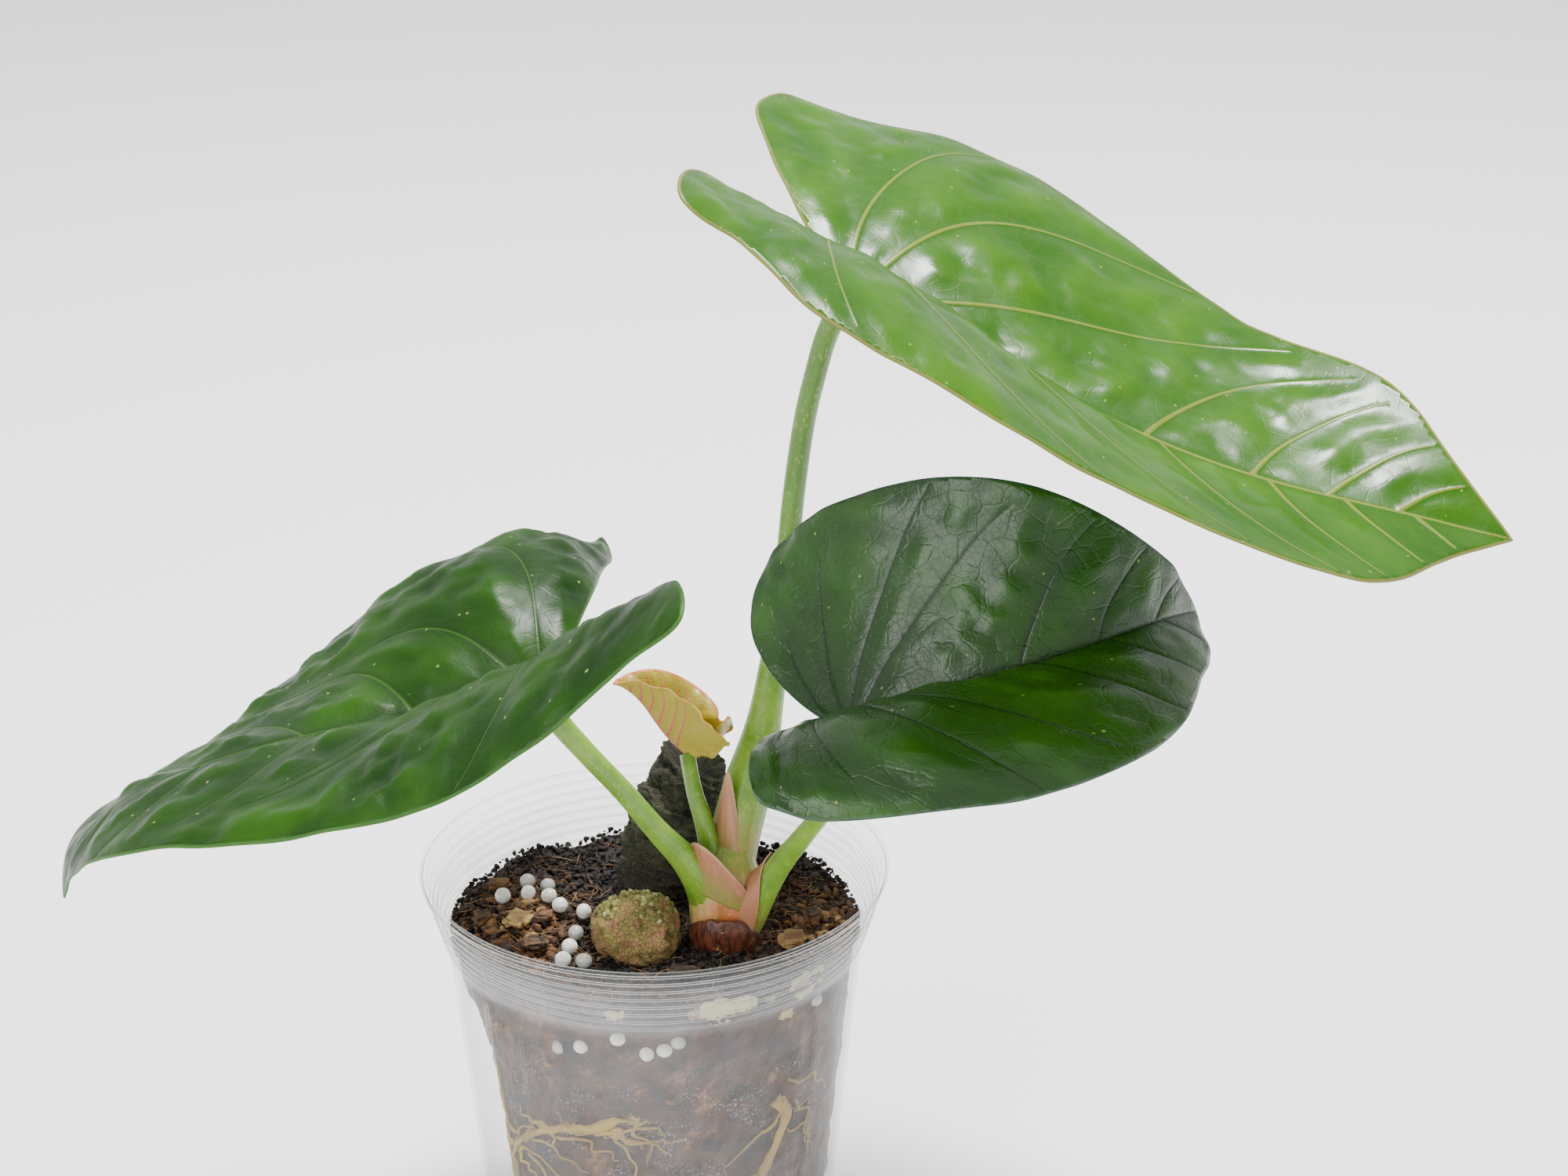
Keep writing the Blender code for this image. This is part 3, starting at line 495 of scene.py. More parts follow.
def mix_finish(name):
    made = Finish(name)
    place = made.local()
    grain = made.noise(place, 900.0, 6.0, 0.65)
    speck = made.stretch(made.noise(place, 2400.0, 2.0), 0.62, 0.74)
    bands = (0.12, 0.42, MIX_BROWN), (0.42, 0.78, COIR_RUST), (0.80, 1.0, COIR_STRAW)
    colour = made.layers(made.toned(grain, 0.5), MIX_BLACK, *bands)
    colour = made.mix(made.times(speck, 0.35), colour, COIR_STRAW)
    wet = made.stretch(made.noise(place, 160.0, 2.0), 0.35, 0.65, 0.55, 0.95)
    made.shade(Base_Color=colour, Roughness=wet, Normal=made.bump(grain, 0.0005, 0.9))
    return made.material


def ball(subdivisions):
    """Points and faces of a unit ball of near-equal triangles."""
    maker = bmesh.new()
    bmesh.ops.create_icosphere(maker, subdivisions=subdivisions, radius=1.0)
    points = np.array([tuple(v.co) for v in maker.verts])
    faces = np.array([[v.index for v in f.verts] for f in maker.faces])
    maker.free()
    return points, faces


def strew(name, places, sizes, tones, seed, ragged=0.28):
    """Many small ragged lumps as one mesh. A size is three half lengths."""
    draw = np.random.default_rng(seed)
    shape, faces = ball(1)
    count = len(places)
    lumps = shape[None] * (1.0 + ragged * draw.uniform(-1, 1, (count, len(shape), 1)))
    lumps = lumps * np.asarray(sizes)[:, None, :]
    turns = draw.uniform(0, 2 * np.pi, (count, 2))
    for spot in range(count):
        turn = Matrix.Rotation(turns[spot, 0], 3, "Z") @ Matrix.Rotation(turns[spot, 1] * 0.25, 3, "X")
        lumps[spot] = lumps[spot] @ np.array(turn).T
    points = (lumps + np.asarray(places)[:, None, :]).reshape(-1, 3)
    every = (faces[None] + (np.arange(count) * len(shape))[:, None, None]).reshape(-1, 3)
    return mesh_from(name, points, every, tone=np.repeat(tones, len(shape)))


def build_crumbs():
    draw = np.random.default_rng(11)
    places, sizes, tones = [], [], []
    reach = float(wall_radius(SOIL_Z)) - 0.0012
    while len(places) < CRUMB_COUNT:
        x, y = draw.uniform(-reach, reach, 2)
        if math.hypot(x, y) > reach:
            continue
        size = CRUMB_LEAST + (CRUMB_CHANCE + CRUMB_COIR * open_and_lit(x, y)) * draw.random() ** 2.8
        places.append((x, y, soil_height(x, y) + crumbly(x, y) + size * 0.25))
        sizes.append(size * draw.uniform((0.8, 0.6, 0.45), (1.5, 1.0, 0.8)))
        # Crumbs are paler where painted light falls on the open coir.
        tones.append(0.04 + open_and_lit(x, y) * draw.uniform(0.05, 0.95) + 0.12 * draw.random())
    for _ in range(WALL_CRUMB_COUNT):
        a = draw.uniform(0, 2 * np.pi)
        radius = reach + 0.0007
        x, y = radius * math.cos(a), radius * math.sin(a)
        size = draw.uniform(0.00025, 0.0008)
        places.append((x, y, soil_height(x, y) + 0.0011 * draw.random() ** 2))
        sizes.append((size, size * 0.8, size * 0.8))
        # Paler where painted light falls on the open coir.
        tones.append(0.1 + open_and_lit(x, y) * draw.uniform(0.1, 0.6))
    return strew("potting_mix_crumbs", places, sizes, tones, 5)


def hair_line(start, heading, length, bow, draw, steps=7):
    """A loose fibre that lies on the top and bows a little."""
    line, place, turn = [], Vector(start), heading
    for _ in range(steps):
        line.append(place.copy())
        turn += bow / steps
        place = place + Vector((math.cos(turn), math.sin(turn), draw.uniform(-0.10, 0.10))) * (length / steps)
    return line


def tube_points(line, radii, sides, squash=None):
    """Rings of points round a line, with the faces that join them. The two end faces come last."""
    line = [Vector(p) for p in line]
    count = len(line)
    heads = [(line[min(i + 1, count - 1)] - line[max(i - 1, 0)]).normalized() for i in range(count)]
    across = heads[0].orthogonal().normalized()
    points = []
    for i, (place, head) in enumerate(zip(line, heads)):
        across = (across - head * across.dot(head)).normalized()
        beside = head.cross(across)
        for k in range(sides):
            a = 2 * math.pi * k / sides
            reach = radii[i] if squash is None else radii[i] * squash(i, a)
            points.append(place + (across * math.cos(a) + beside * math.sin(a)) * reach)
    rings = [tuple(range(i * sides, (i + 1) * sides)) for i in range(count)]
    return points, join_rings(rings) + [rings[0][::-1], rings[-1]]


def build_hairs():
    draw = np.random.default_rng(23)
    reach = float(wall_radius(SOIL_Z)) - 0.002
    points, faces, tone = [], [], []
    made = 0
    while made < HAIR_COUNT:
        x, y = draw.uniform(-reach, reach, 2)
        if math.hypot(x, y) > reach - 0.002 or draw.random() > open_and_lit(x, y) + 0.12:
            continue
        start = (x, y, soil_height(x, y) + 0.0006)
        heading, length, bow = draw.uniform(0, 2 * np.pi), draw.uniform(0.002, 0.007), draw.uniform(-1.4, 1.4)
        line = hair_line(start, heading, length, bow, draw)
        line = [p for p in line if math.hypot(p.x, p.y) < reach]
        if len(line) < 3:
            continue
        found, joined = tube_points(line, [HAIR_R] * len(line), 4)
        faces += [tuple(i + len(points) for i in f) for f in joined]
        points += found
        tone += [draw.uniform(0.45, 1.0)] * len(found)
        made += 1
    return mesh_from("coir_hairs", points, faces, tone=tone)


damp_mix = mix_finish("damp_bark_and_coir")
piece("potting_mix_body", build_mix(), damp_mix, "potting_mix", slot="potting_mix")
piece("potting_mix_crumbs", build_crumbs(), damp_mix, slot="potting_mix")
piece("coir_hairs", build_hairs(), damp_mix, slot="potting_mix")

# ---- the living roots ----
# Cream roots leave the crown's foot, cross the fill and run down the inside of the wall, where they
# branch into fine yellowish rootlets pressed flat against the plastic.
ROOT_R = 0.0014
ROOT_WALLS = {
    "root_1": [(-92, 60), (-104, 53), (-118, 50), (-133, 44), (-148, 34)],
    "root_2": [(-58, 63), (-46, 52), (-52, 38), (-66, 27), (-82, 18), (-100, 12)],
    "root_3": [(38, 58), (56, 44), (76, 34), (98, 22)],
    "root_4": [(168, 55), (184, 42), (203, 30), (222, 16)],
    "root_5": [(78, 56), (96, 46), (118, 38), (140, 20)],
}
ROOTLET_COUNT = 64
ROOT_OCHRE = (0.25, 0.15, 0.010, 1.0)
ROOT_CREAM = (0.42, 0.29, 0.045, 1.0)
ROOT_STAIN = (0.30, 0.19, 0.08, 1.0)
# A root dives into the fill over the first part of its line: depth, and share of the line.
DIVE_DEPTH, DIVE_SHARE = 0.008, 0.20


def eased(places, values, at):
    """Smooth reading of values given at rising places (cubic, with the slope of their neighbours)."""
    places, values = np.asarray(places, float), np.asarray(values, float)
    at = np.clip(at, places[0], places[-1])
    slopes = np.zeros(len(places))
    rise = np.diff(values) / np.diff(places)
    near, far = np.diff(places)[:-1], np.diff(places)[1:]
    slopes[1:-1] = (rise[1:] * near + rise[:-1] * far) / (near + far)
    slopes[0], slopes[-1] = rise[0], rise[-1]
    low = np.clip(np.searchsorted(places, at, side="right") - 1, 0, len(places) - 2)
    span = places[low + 1] - places[low]
    t = (at - places[low]) / span
    start = (2 * t**3 - 3 * t**2 + 1) * values[low] + (t**3 - 2 * t**2 + t) * span * slopes[low]
    return start + (3 * t**2 - 2 * t**3) * values[low + 1] + (t**3 - t**2) * span * slopes[low + 1]


def eased_route(points, count):
    """count points evenly along a smooth curve through the given points."""
    points = np.array([tuple(p) for p in points], float)
    steps = np.linalg.norm(np.diff(points, axis=0), axis=1)
    along = np.concatenate([[0.0], np.cumsum(steps)]) / steps.sum()
    at = np.linspace(0.0, 1.0, count)
    return np.stack([eased(along, points[:, k], at) for k in range(points.shape[1])], -1)


def on_wall(bearing, height, sunk=0.0):
    """A point just inside the plastic, at a bearing in degrees and a height over the table."""
    reach = float(wall_radius(height)) - GAP - sunk - shrunk(bearing, height)
    turn = math.radians(bearing)
    return Vector((reach * math.cos(turn), reach * math.sin(turn), height))


def wall_line(marks, count, sunk, wander=1.2):
    """A root's line down the wall through bearing and height marks (mm), wandering a little."""
    smooth = eased_route(marks, count)
    line = []
    for step, (bearing, height) in enumerate(smooth):
        sway = wander * noise.noise(Vector((step * 0.16, bearing * 0.05, height * 0.04)))
        dive = DIVE_DEPTH * max(0.0, 1.0 - step / (DIVE_SHARE * count)) ** 1.5
        line.append(on_wall(bearing + sway * 2.0, (height + sway) * 0.001, sunk + dive))
    return line


def build_roots():
    for name, marks in ROOT_WALLS.items():
        line = wall_line(marks, 70, ROOT_R * 0.72)
        shares = np.linspace(0.0, 1.0, len(line))
        knots = 1.0 + 0.10 * np.sin(shares * 37.0) + 0.06 * np.sin(shares * 90.0)
        radii = ROOT_R * (1.0 - 0.5 * shares) * knots
        points, faces = tube_points(line, list(radii), 14)
        piece("living_" + name, mesh_from(name, points, faces), living_root, name, slot="root")


def build_rootlets(draw):
    points, faces = [], []
    main = list(ROOT_WALLS.values())
    for number in range(ROOTLET_COUNT):
        marks = main[number % 2] if number % 3 else main[number % len(main)]
        bearing, height = eased_route(marks, 40)[draw.integers(3, 38)]
        run, drop = draw.uniform(-26, 26), draw.uniform(-16, 3)
        middle = (bearing + run * 0.4, height + drop * 0.2 + draw.uniform(-2, 3))
        ends = [(bearing, height), middle, (bearing + run, max(3.0, height + drop))]
        thick = draw.uniform(0.00025, 0.00065)
        line = wall_line(ends, 30, thick * 0.8, 2.2)
        found, joined = tube_points(line, list(thick * np.linspace(1.0, 0.35, len(line))), 8)
        faces += [tuple(i + len(points) for i in f) for f in joined]
        points += found
    piece("rootlets", mesh_from("rootlets", points, faces), living_root, slot="root")


def root_finish():
    made = Finish("living_root", Roughness=0.55)
    place = made.local()
    broad = made.noise(place, 90.0, 3.0)
    colour = made.mix(made.stretch(broad, 0.35, 0.7), ROOT_OCHRE, ROOT_CREAM)
    stain = made.stretch(made.noise(place, 420.0, 3.0), 0.58, 0.75)
    colour = made.mix(made.times(stain, 0.6), colour, ROOT_STAIN)
    made.shade(Base_Color=colour, Normal=made.bump(made.noise(place, 1500.0, 3.0), 0.0002, 0.5))
    return made.material


living_root = root_finish()
build_roots()
build_rootlets(np.random.default_rng(4))

# ---- the fertiliser beads ----
# Slow-release feed: resin-coated beads, milky white and a little glossy, some translucent and grey where
# they have let go of their feed. Most lie together on the left front, and a few are down by the wall.
BEAD_NODES = sorted(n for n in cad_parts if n.startswith("fertiliser_bead"))
# Beads behind the wall: bearing in degrees, height in mm.
WALL_BEADS = [(-90.5, 72.0), (-85.6, 72.8), (-81.6, 74.6), (-98.5, 75.5), (-116.5, 71.0), (-109.5, 72.5),
              (-36.0, 75.0)]
WALL_BEAD_R = 0.00165
FEED_MILK = (0.90, 0.89, 0.84, 1.0)
FEED_CLOUD = (0.70, 0.69, 0.64, 1.0)
FEED_SPENT = (0.30, 0.30, 0.28, 1.0)
FEED_CORE = (0.50, 0.49, 0.46, 1.0)


def bead_mesh(name, middle, radius, seed):
    points, faces = ball(4)
    draw = np.random.default_rng(seed)
    stretch = draw.uniform(0.93, 1.05, 3)
    shift = draw.uniform(0, 50, 3)
    swell = np.array([noise.noise(Vector(p * 1.7 + shift)) for p in points])
    points = points * (1.0 + 0.05 * swell[:, None]) * radius * stretch + np.array(middle)
    tone = np.full(len(points), draw.random())
    return mesh_from(name, points, faces, tone=tone)


def bead_finish():
    made = Finish("coated_feed_bead", Roughness=0.25, Coat_Weight=0.5, Coat_Roughness=0.12)
    made.shade(Subsurface_Weight=0.15, Subsurface_Scale=0.001)
    place = made.local()
    clouds = made.stretch(made.noise(place, 700.0, 4.0), 0.35, 0.7)
    milky = made.mix(clouds, FEED_MILK, FEED_CLOUD)
    spent = made.stretch(made.attribute("tone"), 0.55, 0.8)
    colour = made.mix(made.times(spent, 0.75), milky, FEED_SPENT)
    facing = made.add("LayerWeight", {"Blend": 0.5}).outputs["Facing"]
    colour = made.mix(made.times(made.stretch(facing, 0.45, 0.05), 0.35), colour, FEED_CORE)
    made.shade(Base_Color=colour, Normal=made.bump(made.noise(place, 2200.0, 3.0), 0.00006, 0.5))
    return made.material


feed_bead = bead_finish()
for number, node in enumerate(BEAD_NODES):
    low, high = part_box(node)
    mesh = bead_mesh(node, (low + high) / 2, (high.z - low.z) * 0.46, 40 + number)
    piece(f"feed_bead_{number + 1}", mesh, feed_bead, node, slot="fertiliser_bead")
for number, (bearing, height) in enumerate(WALL_BEADS, start=1):
    mesh = bead_mesh("wall_bead", on_wall(bearing, height * 0.001, 0.0013), WALL_BEAD_R, 70 + number)
    piece(f"wall_bead_{number}", mesh, feed_bead, slot="fertiliser_bead")

# ---- the loose chips ----
# Torn chips of bark and coir husk on the fill, and pale ones pressed against the wall below it.
CHIP_NODES = sorted(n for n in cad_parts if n.startswith("bark_chip"))
CHIP_TONES = (0.40, 0.30, 0.66, 0.34, 0.20, 0.12, 0.60, 0.30, 0.12)
# Chips behind the wall: bearing in degrees, height and size in mm, and paleness.
WALL_CHIPS = [(-70, 81.0, 6.8, 1.15), (-63, 81.4, 4.6, 1.2), (-76, 80.5, 3.6, 1.0), (-43, 80.5, 6.0, 1.15),
              (-36, 81.0, 4.4, 1.2), (-49, 76.0, 3.2, 1.0), (-99, 81.0, 3.2, 1.1), (-54, 80.0, 2.6, 0.9),
              (-120, 66, 2.0, 0.5), (-84, 60, 1.6, 0.55), (-110, 47, 1.6, 0.5), (-140, 70, 2.2, 0.6)]
BARK_BLACK = (0.018, 0.010, 0.007, 1.0)
BARK_BROWN = (0.17, 0.08, 0.035, 1.0)
BARK_STRAW = (0.44, 0.29, 0.10, 1.0)
BARK_PALE = (0.66, 0.58, 0.27, 1.0)


def chip_mesh(name, middle, half, turn, tone, seed):
    points, faces = ball(4)
    shift = np.random.default_rng(seed).uniform(0, 60, 3)
    squared = np.sign(points) * np.abs(points) ** 0.60
    rough = np.array([noise.noise(Vector(p * 1.6 + shift)) for p in points])
    torn = [noise.noise(Vector((p[0] * 3.0, p[1] * 9.0, p[2] * 7.0)) + Vector(shift)) for p in points]
    rough = rough + 0.55 * np.array(torn)
    points = squared * (1.0 + 0.42 * rough[:, None]) * np.asarray(half) * 0.90
    points = points @ np.array(Matrix.Rotation(turn, 3, "Z")).T + np.array(middle)
    return mesh_from(name, points, faces, tone=tone + 0.25 * rough)


def bark_finish():
    made = Finish("torn_bark", Roughness=0.85)
    place = made.local()
    grain = made.noise(made.stretched(place, (1.0, 3.0, 2.0)), 700.0, 5.0, 0.6)
    bands = (0.1, 0.5, BARK_BROWN), (0.5, 0.85, BARK_STRAW), (0.95, 1.2, BARK_PALE)
    colour = made.layers(made.toned(grain, 0.5), BARK_BLACK, *bands)
    made.shade(Base_Color=colour, Normal=made.bump(grain, 0.0004, 0.8))
    return made.material


torn_bark = bark_finish()
for number, node in enumerate(CHIP_NODES):
    low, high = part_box(node)
    half = (high - low) / 2
    turn = 0.3 * math.sin(number * 2.1)
    mesh = chip_mesh(node, (low + high) / 2, half, turn, CHIP_TONES[number], 90 + number)
    piece(f"loose_chip_{number + 1}", mesh, torn_bark, node, slot="bark")
for number, (bearing, height, size, tone) in enumerate(WALL_CHIPS, start=1):
    middle = on_wall(bearing, height * 0.001, 0.0006 if height < 79.0 else 0.0014)
    half = np.array((0.0008, size * 0.00058, size * 0.00042))
    mesh = chip_mesh("wall_chip", middle, half, math.radians(bearing), tone, 120 + number)
    piece(f"wall_chip_{number}", mesh, torn_bark, slot="bark")

# ---- the old rhizome and the mossy corm ----
# The spent stem leans beside the new shoot: black-brown, wrinkled, ringed with leaf scars and broken off
# ragged at the top. The corm beside it is pinkish tan where it is bare, crusted with dry moss elsewhere.
RHIZOME_ROUTE = [(-0.4, 15.2, -8), (0.0, 15.4, 2), (1.8, 15.4, 10), (4.8, 15.2, 19), (8.6, 15.0, 31)]
RHIZOME_RADII = (9.2, 9.0, 9.8, 9.4, 7.2)
SCAR_COUNT = 9
LEDGE, WRINKLE, FURROW = 0.0012, 0.0011, 0.0009
BREAK_SHARE = 0.86
BREAK_HOLLOW = 0.0030
STEM_BLACK = (0.006, 0.006, 0.004, 1.0)
STEM_BROWN = (0.050, 0.046, 0.028, 1.0)
STEM_DUST = (0.10, 0.105, 0.055, 1.0)
STEM_NET = (0.13, 0.14, 0.085, 1.0)
CORM_TAN = (0.37, 0.19, 0.090, 1.0)
CORM_OLIVE = (0.27, 0.22, 0.060, 1.0)
CORM_CRACK = (0.035, 0.028, 0.015, 1.0)
MOSS_DEEP = (0.05, 0.05, 0.012, 1.0)
MOSS_LIT = (0.40, 0.37, 0.08, 1.0)
CRUMB_DARK = (0.035, 0.028, 0.012, 1.0)
CRUMB_GREEN = (0.30, 0.29, 0.05, 1.0)
CRUMB_STRAW = (0.66, 0.56, 0.30, 1.0)
CRUMB_OLIVE = (0.30, 0.27, 0.10, 1.0)
MOSS_CRUMBS = 1100


def over_soil(point):
    """A plant point, in mm from the soil's middle, as metres over the table."""
    return Vector((point[0] * 0.001, point[1] * 0.001, SOIL_Z + point[2] * 0.001))


def build_rhizome():
    rings, sides = 150, 96
    line = eased_route([over_soil(p) for p in RHIZOME_ROUTE], rings)
    shares = np.linspace(0, 1, rings)
    radii = eased(np.linspace(0, 1, len(RHIZOME_RADII)), RHIZOME_RADII, shares) * 0.001
    points, faces = tube_points(line, list(radii), sides)
    points = np.array([tuple(p) for p in points])
    shaped, tone = [], []
    for i in range(rings):
        for k in range(sides):
            a = 2 * math.pi * k / sides
            p = points[i * sides + k]
            out = (p - line[i]) / radii[i]
            drift = noise.noise(Vector((math.cos(a) * 1.1, math.sin(a) * 1.1, shares[i] * 5.0)))
            scar_at = shares[i] * SCAR_COUNT + 0.35 * math.sin(a + 1.0) + 1.1 * drift
            scar = scar_at % 1.0
            ledge = LEDGE * (scar**3) * (0.55 + 0.9 * abs(drift)) - LEDGE / 4
            wrinkle = noise.noise(Vector((math.cos(a) * 2.2, math.sin(a) * 2.2, shares[i] * 16.0)))
            net = abs(noise.noise(Vector((math.cos(a) * 5.0, math.sin(a) * 5.0, shares[i] * 34.0))))
            grow = ledge + WRINKLE * wrinkle - FURROW * (1.0 - min(1.0, net * 5.0))
            torn = 0.0022 * noise.noise(Vector((math.cos(a) * 1.6, math.sin(a) * 1.6, 9.0)))
            torn += 0.0016 * max(0.0, math.cos(a * 2 + 2.2)) ** 6
            ragged = torn * max(0.0, (shares[i] - BREAK_SHARE) / (1.0 - BREAK_SHARE))
            shaped.append(p + out * grow + np.array((0, 0, ragged)))
            pale = 0.5 * (1.0 - min(1.0, net * 5.0)) + (0.3 if scar > 0.85 else 0.0)
            tone.append(0.25 + 0.36 * wrinkle + pale)
    hollow = np.array(line[-1]) - np.array((0, 0, BREAK_HOLLOW))
    top = faces.pop()
    shaped.append(hollow)
    tone.append(0.0)
    centre = len(shaped) - 1
    faces += [(top[k], top[(k + 1) % sides], centre) for k in range(sides)]
    return mesh_from("old_rhizome", shaped, faces, tone=tone)


def rhizome_finish():
    made = Finish("spent_stem", Roughness=0.88)
    place = made.local()
    grain = made.noise(place, 520.0, 5.0, 0.6, 0.6)
    net = made.stretch(made.cells(place, 420.0, "DISTANCE_TO_EDGE").outputs["Distance"], 0.0, 0.10, 1.0, 0.0)
    tone = made.plus(made.attribute("tone"), made.times(grain, 0.4))
    colour = made.mix(made.stretch(tone, 0.2, 0.8), STEM_BLACK, STEM_BROWN)
    dusty = made.stretch(made.noise(place, 150.0, 3.0), 0.50, 0.70)
    colour = made.mix(made.times(dusty, 0.35), colour, STEM_DUST)
    colour = made.mix(made.times(net, 0.30), colour, STEM_NET)
    height = made.minus(grain, made.times(net, 0.5))
    made.shade(Base_Color=colour, Normal=made.bump(height, 0.0006, 0.9))
    return made.material


def build_corm():
    low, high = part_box("corm")
    middle, half = np.array((low + high) / 2), np.array((high - low) / 2)
    points, faces = ball(6)
    shaped, tone = [], []
    for p in points:
        v = Vector(p)
        broad = noise.noise(v * 1.6)
        lumps = noise.noise(v * 4.5)
        crust = noise.noise(v * 13.0)
        ring = 0.25 * math.cos(p[2] * 17.0 + 2.0 * broad)
        crevice = max(0.0, noise.noise(v * 3.1 + Vector((5, 5, 5))) - 0.12) * (0.5 + 0.5 * max(0.0, p[2]))
        grow = 0.985 + 0.09 * broad + 0.07 * lumps + 0.030 * crust + 0.012 * ring
        grow -= 0.42 * crevice + 0.10 * max(0.0, p[2] - 0.5)
        shaped.append(middle + p * half * grow * np.array((1.08, 1.0, 1.0)))
        mossy = 0.13 + 0.60 * p[2] - 0.14 * p[0] + 0.45 * p[1]
        tone.append(mossy + 0.65 * noise.noise(v * 2.3 + Vector((3, 1, 7))))
    return mesh_from("corm", shaped, faces, tone=tone), np.array(shaped), np.array(tone)


def corm_finish():
    made = Finish("mossy_corm_skin", Roughness=0.9)
    place = made.local()
    fine = made.noise(place, 1100.0, 5.0, 0.65)
    patch = made.stretch(made.noise(place, 330.0, 5.0, 0.65), 0.38, 0.60)
    bare = made.mix(patch, CORM_TAN, CORM_OLIVE)
    moss = made.mix(fine, MOSS_DEEP, MOSS_LIT)
    colour = made.mix(made.stretch(made.toned(fine, 0.9), 0.25, 0.75), bare, moss)
    dark = made.stretch(made.noise(place, 430.0, 5.0, 0.65, 1.0), 0.53, 0.66)
    colour = made.mix(made.times(dark, 0.7), colour, CORM_CRACK)
    crackle = made.cells(place, 900.0, "DISTANCE_TO_EDGE").outputs["Distance"]
    rough = made.plus(fine, made.times(made.stretch(crackle, 0.0, 0.12), 0.6))
    made.shade(Base_Color=colour, Normal=made.bump(rough, 0.0006, 0.9))
    return made.material


def build_moss(surface, mossy):
    draw = np.random.default_rng(8)
    places, sizes, tones = [], [], []
    order = draw.permutation(len(surface))
    for spot in order:
        if len(places) >= MOSS_CRUMBS:
            break
        if mossy[spot] < 0.45 + 0.4 * draw.random() or surface[spot][2] < SOIL_Z - 0.001:
            continue
        places.append(surface[spot])
        size = 0.00012 + 0.00065 * draw.random() ** 3
        sizes.append((size, size, size * 0.8))
        tones.append(draw.random())
    return strew("corm_moss", places, sizes, tones, 9, 0.35)


def moss_finish():
    made = Finish("dry_moss", Roughness=0.95)
    bands = (0.25, 0.6, CRUMB_GREEN), (0.6, 1.0, CRUMB_STRAW)
    colour = made.layers(made.attribute("tone"), CRUMB_DARK, *bands)
    fine = made.noise(made.local(), 2600.0, 3.0)
    made.shade(Base_Color=made.mix(fine, colour, CRUMB_OLIVE), Normal=made.bump(fine, 0.0003))
    return made.material


piece("spent_stem", build_rhizome(), rhizome_finish(), "old_rhizome", slot="old_rhizome")
corm_mesh, corm_points, corm_moss = build_corm()
piece("mossy_corm", corm_mesh, corm_finish(), "corm", slot="mossy_corm")
piece("corm_moss", build_moss(corm_points, corm_moss), moss_finish(), slot="mossy_corm")

# ---- the crown, its papery scale and the sheaths ----
# The new shoot's swollen base, orange below and fading to yellow-green, where the stalks' sheaths wrap
# round each other. A dry brown scale still clasps its foot, and thin pink sheath edges stand off it.
CROWN_ROUTE = [(14.8, -7.2, -5), (14.8, -7.0, 1), (15.0, -6.4, 8), (15.5, -5.4, 14), (16.6, -3.4, 21.5)]
CROWN_RADII = (5.4, 6.8, 7.4, 6.9, 3.4)
FOOT_ORANGE = (0.48, 0.135, 0.03, 1.0)
FOOT_CREAM = (0.52, 0.33, 0.11, 1.0)
SHOOT_GREEN = (0.24, 0.30, 0.045, 1.0)
SHOOT_PORE = (0.72, 0.62, 0.36, 1.0)
SCALE_DARK = (0.030, 0.009, 0.006, 1.0)
SCALE_BROWN = (0.16, 0.045, 0.022, 1.0)
SCALE_CRACK = (0.50, 0.28, 0.08, 1.0)
SHEATH_OLIVE = (0.27, 0.25, 0.055, 1.0)
SHEATH_PINK = (0.40, 0.17, 0.085, 1.0)
SHEATH_STREAK = (0.36, 0.13, 0.08, 1.0)
SHEATH_EDGE = (0.58, 0.36, 0.22, 1.0)
SHEATH_THICK = 0.00035
# The scale and the sheaths that stand round the crown: the middle they bow round (mm from the soil's
# middle), their radii at foot and top (m), first and last bearing, and the heights of their feet and tops.
ROUND_CROWN = {
    "basal_scale": {
        "centre": (15.3, -8.0, 0.0), "radii": (0.0064, 0.0102), "bearings": (-194, -10),
        "feet": (-3, -3, -3), "tops": (2.4, 6.6, 8.4, 7.4, 2.4), "flare": -0.0030, "ragged": 0.08,
    },
    "sheath_front": {
        "centre": (15.0, -5.6, 0.0), "radii": (0.0080, 0.0086), "bearings": (-160, -46),
        "feet": (13, 13, 12, 10, 8), "tops": (22.5, 25.0, 23.0, 18.0, 12.0), "flare": 0.0, "ragged": 0.0,
    },
    "sheath_spear": {
        "centre": (17.6, -2.6, 0.0), "radii": (0.0060, 0.0042), "bearings": (-235, -70),
        "feet": (11, 11, 11), "tops": (18.0, 25.0, 31.5, 38.5, 22.0), "flare": -0.0004, "ragged": 0.0,
    },
}


def build_crown():
    rings, sides = 90, 96
    line = eased_route([over_soil(p) for p in CROWN_ROUTE], rings)
    radii = eased(np.linspace(0, 1, len(CROWN_RADII)), CROWN_RADII, np.linspace(0, 1, rings)) * 0.001

    def folds(i, a):
        share = i / rings
        crease = math.exp(-((between(math.degrees(a), 200 + 60 * share) / 14) ** 2))
        other = math.exp(-((between(math.degrees(a), 40 - 50 * share) / 12) ** 2))
        rib = 0.012 * math.sin(a * 22.0 + 3.0 * share)
        return 1.0 - 0.10 * crease - 0.08 * other + rib + 0.03 * math.sin(2 * a + 4.0 * share)

    points, faces = tube_points(line, list(radii), sides, folds)
    height = np.repeat(np.linspace(0, 1, rings), sides)
    leftward = np.clip([(CROWN_ROUTE[2][0] - p.x * 1000) / CROWN_RADII[2] for p in points], 0.0, 1.0)
    return mesh_from("crown", points, faces, tone=height + 0.30 * leftward)


def speckles(recipe, place, scale, size):
    """Small pale pores, stretched along the stem."""
    spread = recipe.stretched(place, (1.0, 1.0, 0.45))
    return recipe.stretch(recipe.cells(spread, scale).outputs["Distance"], size, size * 0.4)


